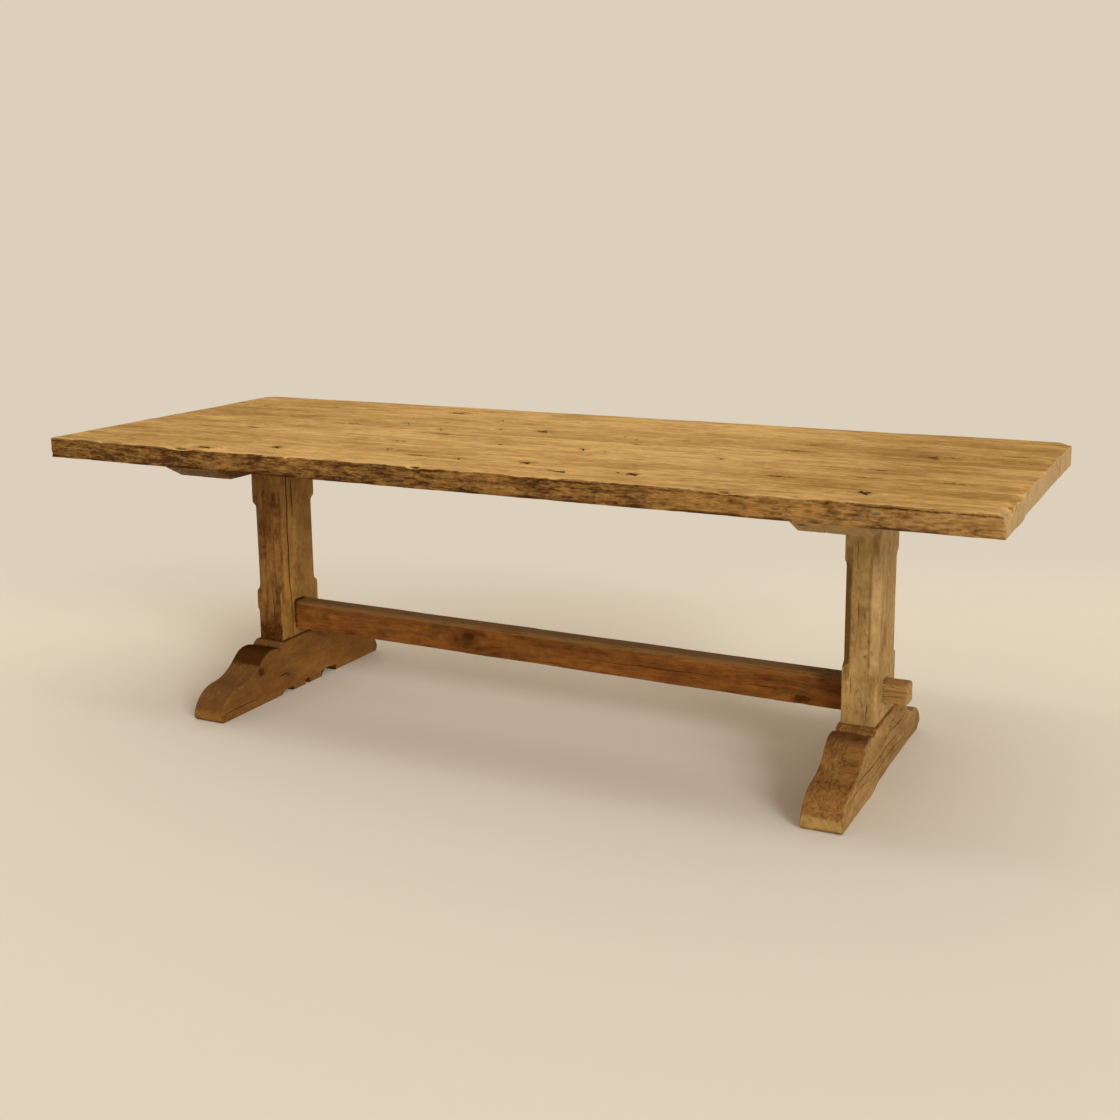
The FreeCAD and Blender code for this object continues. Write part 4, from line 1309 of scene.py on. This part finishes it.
def oak_group():
    """The look of old oak, as a shader node group: a colour, a roughness, a gloss and a height."""
    tree = bpy.data.node_groups.get("Old Oak")
    if tree:
        return tree
    inputs = [("Grain", "Vector", None)] + [(name, "Float", 0.0) for name in MARKS]
    inputs += [(name, "Color", (0.5, 0.5, 0.5, 1)) for name in COLOURS]
    inputs += [(name, "Float", 0.5) for name in SHARES]
    results = [("Colour", "Color", None)]
    results += [(name, "Float", None) for name in ("Roughness", "Gloss", "Height")]
    tree, nodes, given, result = new_tree("Old Oak", "ShaderNodeTree", inputs, results)
    shade, soil, knot = given["Shade"], given["Soil"], given["Knot"]
    streaks, dirt = given["Streaks"], given["Dirt"]

    # The wood's own patterns. The rings go round the tree's heart, and the rest along the grain.
    stretch = nodes.joined(X=given["Shortness"], Y=1.0, Z=1.0)
    grain = nodes.vectors("MULTIPLY", given["Grain"], stretch)
    along, across, through = nodes.split(grain)
    sway = (nodes.clouds(grain, (2.5, 7.0, 7.0), 2.0) - 0.5) * 0.045
    heart = nodes.joined(Y=across + sway, Z=through)
    radius = nodes.make("ShaderNodeVectorMath", {0: heart}, "Value", operation="LENGTH")
    ring = nodes.span(nodes.ripple(radius + along * 0.006, 190.0, 2.0), 0.35, 0.65)
    band = nodes.span(nodes.clouds(grain, (3.0, 14.0, 14.0), 4.0, 0.62), 0.33, 0.67)
    streak = nodes.span(nodes.clouds(grain, (5.0, 46.0, 46.0), 4.0, 0.65), 0.33, 0.67)
    fibre = nodes.span(nodes.clouds(grain, (18.0, 300.0, 300.0), 2.0, 0.6), 0.3, 0.7)
    blotch = nodes.clouds(grain, (9.0, 24.0, 24.0), 4.0, 0.66)
    smudge = nodes.clouds(grain, (24.0, 60.0, 60.0), 4.0, 0.7)
    dash = nodes.clouds(grain, (20.0, 130.0, 130.0), 3.0, 0.6)
    fleck = nodes.clouds(grain, (11.0, 42.0, 42.0), 3.0, 0.6)
    grit = nodes.clouds(grain, (60.0, 190.0, 190.0), 3.0, 0.62)
    patch = nodes.span(smudge, 0.34, 0.66)

    # The planed or worn wood, and its end grain.
    figure = (band - 0.5) * given["Bands"] + (streak - 0.5) * streaks * 0.7
    figure = figure + (fibre - 0.5) * streaks * 0.4 + (patch - 0.5) * streaks * 0.6
    figure = figure + (ring - 0.5) * given["Rings"] + shade
    level = nodes.maths("ADD", figure, 0.5, clamp=True)
    tone = nodes.mix(level, given["Dark"], given["Light"])
    end_grain = given["Cut"] * (0.55 + ring * 0.35)
    tone = nodes.mix(end_grain, tone, given["End Light"])

    # The rough or dusty faces, with a ragged border.
    ragged = given["Face"] + (grit - 0.5) * 0.9
    face = nodes.span(ragged, 0.42, 0.58, "SMOOTHSTEP") * nodes.span(given["Face"], 0.02, 0.7)
    worked = streak * 0.20 + nodes.span(blotch, 0.36, 0.64) * 0.12 + patch * 0.08
    worked = worked + nodes.span(dash, 0.36, 0.64) * 0.26 + fibre * 0.20
    worked = worked + nodes.span(grit, 0.36, 0.64) * 0.14 + shade
    worked_tone = nodes.span(worked, 0.27, 0.73)
    tone = nodes.mix(face, tone, nodes.mix(worked_tone, given["Face Dark"], given["Face Light"]))

    # Stains, specks, bleached arrises, and dirt, which also paints shade.
    stain = nodes.span(blotch, 0.50, 0.72) * given["Mottle"]
    tone = nodes.mix(stain * 0.75, tone, dirt)
    speck = nodes.most(nodes.span(dash, 0.62, 0.72), nodes.span(fleck, 0.62, 0.72) * 0.8)
    speck = speck * (given["Specks"] + face * 0.3)
    tone = nodes.mix(speck, tone, dirt)
    scuff = nodes.most(nodes.span(smudge, 0.42, 0.60) * 0.6, nodes.span(dash, 0.50, 0.62))
    tone = nodes.mix(given["Wear"] * given["Pale Edges"] * scuff, tone, given["Worn Light"])
    # The soil mark lays in the dirt colour: real dirt, and painted shade at joints, under the front
    # arris and round the sole gaps.
    grime = nodes.span(soil + (grit - 0.5) * 1.5, 0.40, 0.85) * nodes.span(soil, 0.0, 0.4)
    tone = nodes.mix(grime * 0.85, tone, dirt)

    # Knots, ringed and with a torn core, and cracks.
    rim = nodes.span(knot, 0.05, 0.45, "SMOOTHSTEP")
    rim = rim * nodes.span(nodes.ripple(knot, 17.0, 1.0), 0.62, 0.40)
    core = nodes.span(knot + (grit - 0.5) * 0.9 + (dash - 0.5) * 0.9, 0.50, 0.66)
    knot_dark = nodes.most(rim * 0.36, core * 0.82)
    tone = nodes.mix(knot_dark, tone, dirt)
    gap = nodes.maths("ABSOLUTE", given["Crack"], 0.0)
    uneven = 0.25 + smudge * 1.3
    crack = 1.0 - nodes.span(gap, uneven * 0.55, uneven)
    tone = nodes.mix(crack * 0.95, tone, given["Crack Colour"])

    rough = level * -0.12 + grime * 0.15 + face * 0.12 + knot_dark * 0.08 + 0.72
    height = figure * 0.5 + fibre * 0.25 - speck * 0.8 - stain * 0.3 - grime * 0.3
    height = height - knot_dark * 0.5 - crack * 1.8 + face * worked * 0.8
    gloss = nodes.maths("SUBTRACT", 1.0, nodes.most(knot_dark, crack, speck, grime), clamp=True)
    made = {"Colour": tone, "Roughness": rough, "Gloss": gloss, "Height": height}
    for name, value in made.items():
        nodes.feed(value, result[name])
    return tree


def opaque(values):
    """A colour with an alpha of 1."""
    return (*values, 1.0)


def new_material(name):
    """A material, a Nodes for its tree, and its Principled BSDF."""
    material = bpy.data.materials.new(name)
    material.use_nodes = True
    surface = material.node_tree.nodes["Principled BSDF"]
    return material, Nodes(material.node_tree), surface


def oak_finish(name):
    """A material of old oak.

    Timbers that carry their own marks are coloured from them. The others read Object
    coordinates, as the CAD nodes do that stay in the model.
    """
    colours = bpy.context.scene.table_colours
    wood, face, ends, shares = OAK_FINISHES[name]
    faces = [face] * 2 if face == "stretcher_top" else [face + "_light", face + "_dark"]
    picks = (wood + "_light", wood + "_dark", *faces, ends, "worn", "dirt", "crack")
    material, nodes, surface = new_material(name + "_finish")
    group = nodes.add("ShaderNodeGroup", node_tree=oak_group())
    for socket_name, pick in zip(COLOURS, picks):
        group.inputs[socket_name].default_value = opaque(getattr(colours, pick))
    for socket_name, share in zip(SHARES, shares):
        group.inputs[socket_name].default_value = share
    if name in UNMARKED:
        place = nodes.make("ShaderNodeTexCoord", {}, "Object")
        nodes.feed(place, group.inputs["Grain"])
        group.inputs["Crack"].default_value = UNCRACKED
    else:
        grain = nodes.make("ShaderNodeAttribute", {}, "Vector", attribute_name="grain")
        nodes.feed(grain, group.inputs["Grain"])
        for mark in MARKS:
            value = nodes.make("ShaderNodeAttribute", {}, "Fac", attribute_name=mark.lower())
            nodes.feed(value, group.inputs[mark])
    made = nodes.outputs(group)
    relief = nodes.make("ShaderNodeBump", {"Height": made["Height"], "Distance": 0.0009})
    nodes.feed(made["Colour"], surface.inputs["Base Color"])
    nodes.feed(made["Roughness"], surface.inputs["Roughness"])
    nodes.feed(relief, surface.inputs["Normal"])
    nodes.feed(made["Gloss"] * 0.12, surface.inputs["Specular IOR Level"])
    return material


def steel_finish(name):
    """Dull steel with rust in patches, for the coach screws."""
    colours = bpy.context.scene.table_colours
    material, nodes, surface = new_material(name + "_finish")
    place = nodes.make("ShaderNodeTexCoord", {}, "Object")
    patches = nodes.span(nodes.clouds(place, (260.0, 260.0, 260.0), 4.0, 0.65), 0.26, 0.50)
    grit = nodes.clouds(place, (1400.0, 1400.0, 1400.0), 2.0)
    tone = nodes.mix(patches, opaque(colours.steel), opaque(colours.rust))
    nodes.feed(tone, surface.inputs["Base Color"])
    metal = nodes.maths("SUBTRACT", 0.9, patches, clamp=True)
    nodes.feed(metal, surface.inputs["Metallic"])
    nodes.feed(patches * 0.35 + grit * 0.6, surface.inputs["Roughness"])
    height = patches * 0.6 + grit * 0.4
    relief = nodes.make("ShaderNodeBump", {"Height": height, "Distance": 0.0003})
    nodes.feed(relief, surface.inputs["Normal"])
    return material


def finish(name):
    """The material for one of the record's slots, made the first time it is asked for."""
    made = bpy.data.materials.get(name + "_finish")
    if made is None:
        made = steel_finish(name) if name == "screw_steel" else oak_finish(name)
    return made


def dress(node, slot_name):
    """Gives a CAD node that stays in the model its finish."""
    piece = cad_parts[node]
    if not piece.material_slots:
        piece.data.materials.append(None)
    for slot in piece.material_slots:
        slot.material = finish(slot_name)


# ---------------------------------------------------------------- stage

VIEW_TURN = math.radians(26.241)
VIEW_TILT = math.radians(11.552)
VIEW_ROLL = math.radians(-0.511)
VIEW_PLACE = (1.7059, -3.3351, 1.3521)
VIEW_LENS, VIEW_SHIFT = 47.466, (-0.0080, -0.0463)

# The lamps: kind, place, target, strength in W (area) or W/m2 (sun), and linear colour.
LAMPS = {
    "overhead": ("AREA", (0.2, -1.1, 7.0), (0.1, -0.3, 0.0), 54.0, (0.93, 0.98, 1.0)),
    "key": ("SUN", (11.3, -8.85, 5.15), (0.2, 0.0, 0.5), 2.25, (0.94, 0.98, 1.0)),
}
OVERHEAD_SIZE = (6.5, 1.1)
KEY_SPREAD = math.radians(25)
ROOM_COLOUR, ROOM_STRENGTH = (1.0, 0.925, 0.80, 1.0), 0.64


def backdrop_finish():
    """Pale paper that keeps the table's shadow and fades to an even backdrop behind it."""
    colours = bpy.context.scene.table_colours
    material, nodes, surface = new_material("studio_paper")
    surface.inputs["Base Color"].default_value = opaque(colours.floor)
    surface.inputs["Roughness"].default_value = 0.9
    surface.inputs["Specular IOR Level"].default_value = 0.1
    glow = nodes.make("ShaderNodeEmission", {"Color": opaque(colours.backdrop)})
    place = nodes.make("ShaderNodeTexCoord", {}, "Object")
    turn = {"Vector": place, "Rotation": (0.0, 0.0, -VIEW_TURN)}
    _, back, up = nodes.split(nodes.make("ShaderNodeMapping", turn))
    far = nodes.span(back + up, 0.8, 2.3, "SMOOTHSTEP")
    seen = nodes.outputs(nodes.add("ShaderNodeLightPath"))
    rays = [seen["Is " + kind + " Ray"] for kind in ("Camera", "Glossy", "Transmission")]
    paper = Value(nodes, surface.outputs[0])
    mixed = nodes.make("ShaderNodeMixShader", {0: far * nodes.most(*rays), 1: paper, 2: glow})
    nodes.feed(mixed, material.node_tree.nodes["Material Output"].inputs["Surface"])
    return material


def build_backdrop():
    """A floor that sweeps up behind the table."""
    half_width, front, back, bend, rise, steps = 12.0, -7.0, 6.0, 2.5, 7.0, 16
    sweep = [(front, 0.0)]
    for k in range(steps + 1):
        angle = math.pi / 2 * k / steps
        sweep.append((back - bend + bend * math.sin(angle), bend - bend * math.cos(angle)))
    sweep.append((back, rise))
    verts = [(x, y, z) for x in (-half_width, half_width) for y, z in sweep]
    count = len(sweep)
    mesh = bpy.data.meshes.new("backdrop")
    faces = [(k, count + k, count + k + 1, k + 1) for k in range(count - 1)]
    mesh.from_pydata(verts, [], faces)
    mesh.transform(Matrix.Rotation(VIEW_TURN, 4, "Z"))
    mesh.materials.append(backdrop_finish())
    mesh.polygons.foreach_set("use_smooth", [True] * len(mesh.polygons))
    link("backdrop", mesh)


def build_light():
    """A dim warm room, a broad lamp overhead and a soft low key from the right."""
    world = bpy.data.worlds.new("studio")
    bpy.context.scene.world = world
    world.use_nodes = True
    background = world.node_tree.nodes["Background"]
    background.inputs["Color"].default_value = ROOM_COLOUR
    background.inputs["Strength"].default_value = ROOM_STRENGTH
    for name, (kind, place, target, strength, shown) in LAMPS.items():
        data = bpy.data.lights.new(name, kind)
        data.energy = strength
        data.color = shown
        if kind == "AREA":
            data.shape = "RECTANGLE"
            data.size, data.size_y = OVERHEAD_SIZE
        else:
            data.angle = KEY_SPREAD
        lamp = link(name, data)
        lamp.location = place
        toward = Vector(target) - Vector(place)
        lamp.rotation_euler = toward.to_track_quat("-Z", "Y").to_euler()


def build_camera():
    """The camera, a little above the table and to the right."""
    data = bpy.data.cameras.new("camera")
    data.sensor_width = 36.0
    data.lens = VIEW_LENS
    data.shift_x, data.shift_y = VIEW_SHIFT
    camera = link("camera", data)
    flat = math.cos(VIEW_TILT)
    turn_sine, turn_cosine = math.sin(VIEW_TURN), math.cos(VIEW_TURN)
    forward = Vector((-turn_sine * flat, turn_cosine * flat, -math.sin(VIEW_TILT)))
    right = Vector((turn_cosine, turn_sine, 0.0))
    upward = right.cross(forward)
    rolled_right = math.cos(VIEW_ROLL) * right + math.sin(VIEW_ROLL) * upward
    rolled_up = math.cos(VIEW_ROLL) * upward - math.sin(VIEW_ROLL) * right
    turn = Matrix((rolled_right, rolled_up, -forward)).transposed()
    camera.matrix_world = Matrix.Translation(VIEW_PLACE) @ turn.to_4x4()
    bpy.context.scene.camera = camera


# ---------------------------------------------------------------- operators and panel


class TABLE_OT_stage(bpy.types.Operator):
    """Set up the floor, backdrop, lamps and camera"""

    bl_idname = "table.stage"
    bl_label = "Stage"

    def execute(self, context):
        build_backdrop()
        build_light()
        build_camera()
        context.scene.view_settings.view_transform = "Standard"
        return {"FINISHED"}


class TABLE_OT_top_boards(bpy.types.Operator):
    """Build the five boards of the top"""

    bl_idname = "table.top_boards"
    bl_label = "Top boards"

    def execute(self, context):
        for number in range(len(BOARDS)):
            top_board(number)
        return {"FINISHED"}


class TABLE_OT_bearers(bpy.types.Operator):
    """Build the two bearers under the top"""

    bl_idname = "table.bearers"
    bl_label = "Bearers"

    def execute(self, context):
        for side in SIDES:
            build_bearer(side)
        return {"FINISHED"}


class TABLE_OT_posts(bpy.types.Operator):
    """Build the two chamfered posts"""

    bl_idname = "table.posts"
    bl_label = "Posts"

    def execute(self, context):
        for side in SIDES:
            build_post(side)
        return {"FINISHED"}


class TABLE_OT_feet(bpy.types.Operator):
    """Build the two ogee feet"""

    bl_idname = "table.feet"
    bl_label = "Feet"

    def execute(self, context):
        for side in SIDES:
            build_foot(side)
        return {"FINISHED"}


class TABLE_OT_stretcher(bpy.types.Operator):
    """Build the stretcher between the posts"""

    bl_idname = "table.stretcher"
    bl_label = "Stretcher"

    def execute(self, context):
        build_stretcher()
        return {"FINISHED"}


class TABLE_OT_pegs(bpy.types.Operator):
    """Set the riven pegs in the joints"""

    bl_idname = "table.pegs"
    bl_label = "Pegs"

    def execute(self, context):
        build_pegs()
        return {"FINISHED"}


class TABLE_OT_coach_screws(bpy.types.Operator):
    """Set the coach screws in the bearers"""

    bl_idname = "table.coach_screws"
    bl_label = "Coach screws"

    def execute(self, context):
        build_screws()
        return {"FINISHED"}


class TABLE_OT_hidden_oak(bpy.types.Operator):
    """Finish the loose tongues and the wedges, which keep their plain shapes"""

    bl_idname = "table.hidden_oak"
    bl_label = "Tongues and wedges"

    def execute(self, context):
        for node in TONGUES:
            dress(node, "inner_oak")
        for side in SIDES:
            dress("bearer_wedges_" + side, "peg_oak")
        return {"FINISHED"}


OPERATORS = (
    TABLE_OT_stage,
    TABLE_OT_top_boards,
    TABLE_OT_bearers,
    TABLE_OT_posts,
    TABLE_OT_feet,
    TABLE_OT_stretcher,
    TABLE_OT_pegs,
    TABLE_OT_coach_screws,
    TABLE_OT_hidden_oak,
)


class TABLE_PT_pieces(bpy.types.Panel):
    """The table's pieces, sizes and colours"""

    bl_idname = "TABLE_PT_pieces"
    bl_label = "Trestle Table"
    bl_space_type = "VIEW_3D"
    bl_region_type = "UI"
    bl_category = "Table"

    def draw(self, context):
        for operator in OPERATORS:
            self.layout.operator(operator.bl_idname)
        for group in (context.scene.table_wear, context.scene.table_colours):
            box = self.layout.box()
            for name in group.__annotations__:
                box.prop(group, name)


CLASSES = (TableWear, TableColours) + OPERATORS + (TABLE_PT_pieces,)


def register():
    for cls in CLASSES:
        bpy.utils.register_class(cls)
    bpy.types.Scene.table_wear = bpy.props.PointerProperty(type=TableWear)
    bpy.types.Scene.table_colours = bpy.props.PointerProperty(type=TableColours)


def unregister():
    del bpy.types.Scene.table_colours
    del bpy.types.Scene.table_wear
    for cls in reversed(CLASSES):
        bpy.utils.unregister_class(cls)


def main():
    """Builds the table and stage."""
    register()
    bpy.ops.table.stage()
    bpy.ops.table.top_boards()
    bpy.ops.table.bearers()
    bpy.ops.table.posts()
    bpy.ops.table.feet()
    bpy.ops.table.stretcher()
    bpy.ops.table.pegs()
    bpy.ops.table.coach_screws()
    bpy.ops.table.hidden_oak()


if __name__ == "__main__":
    main()
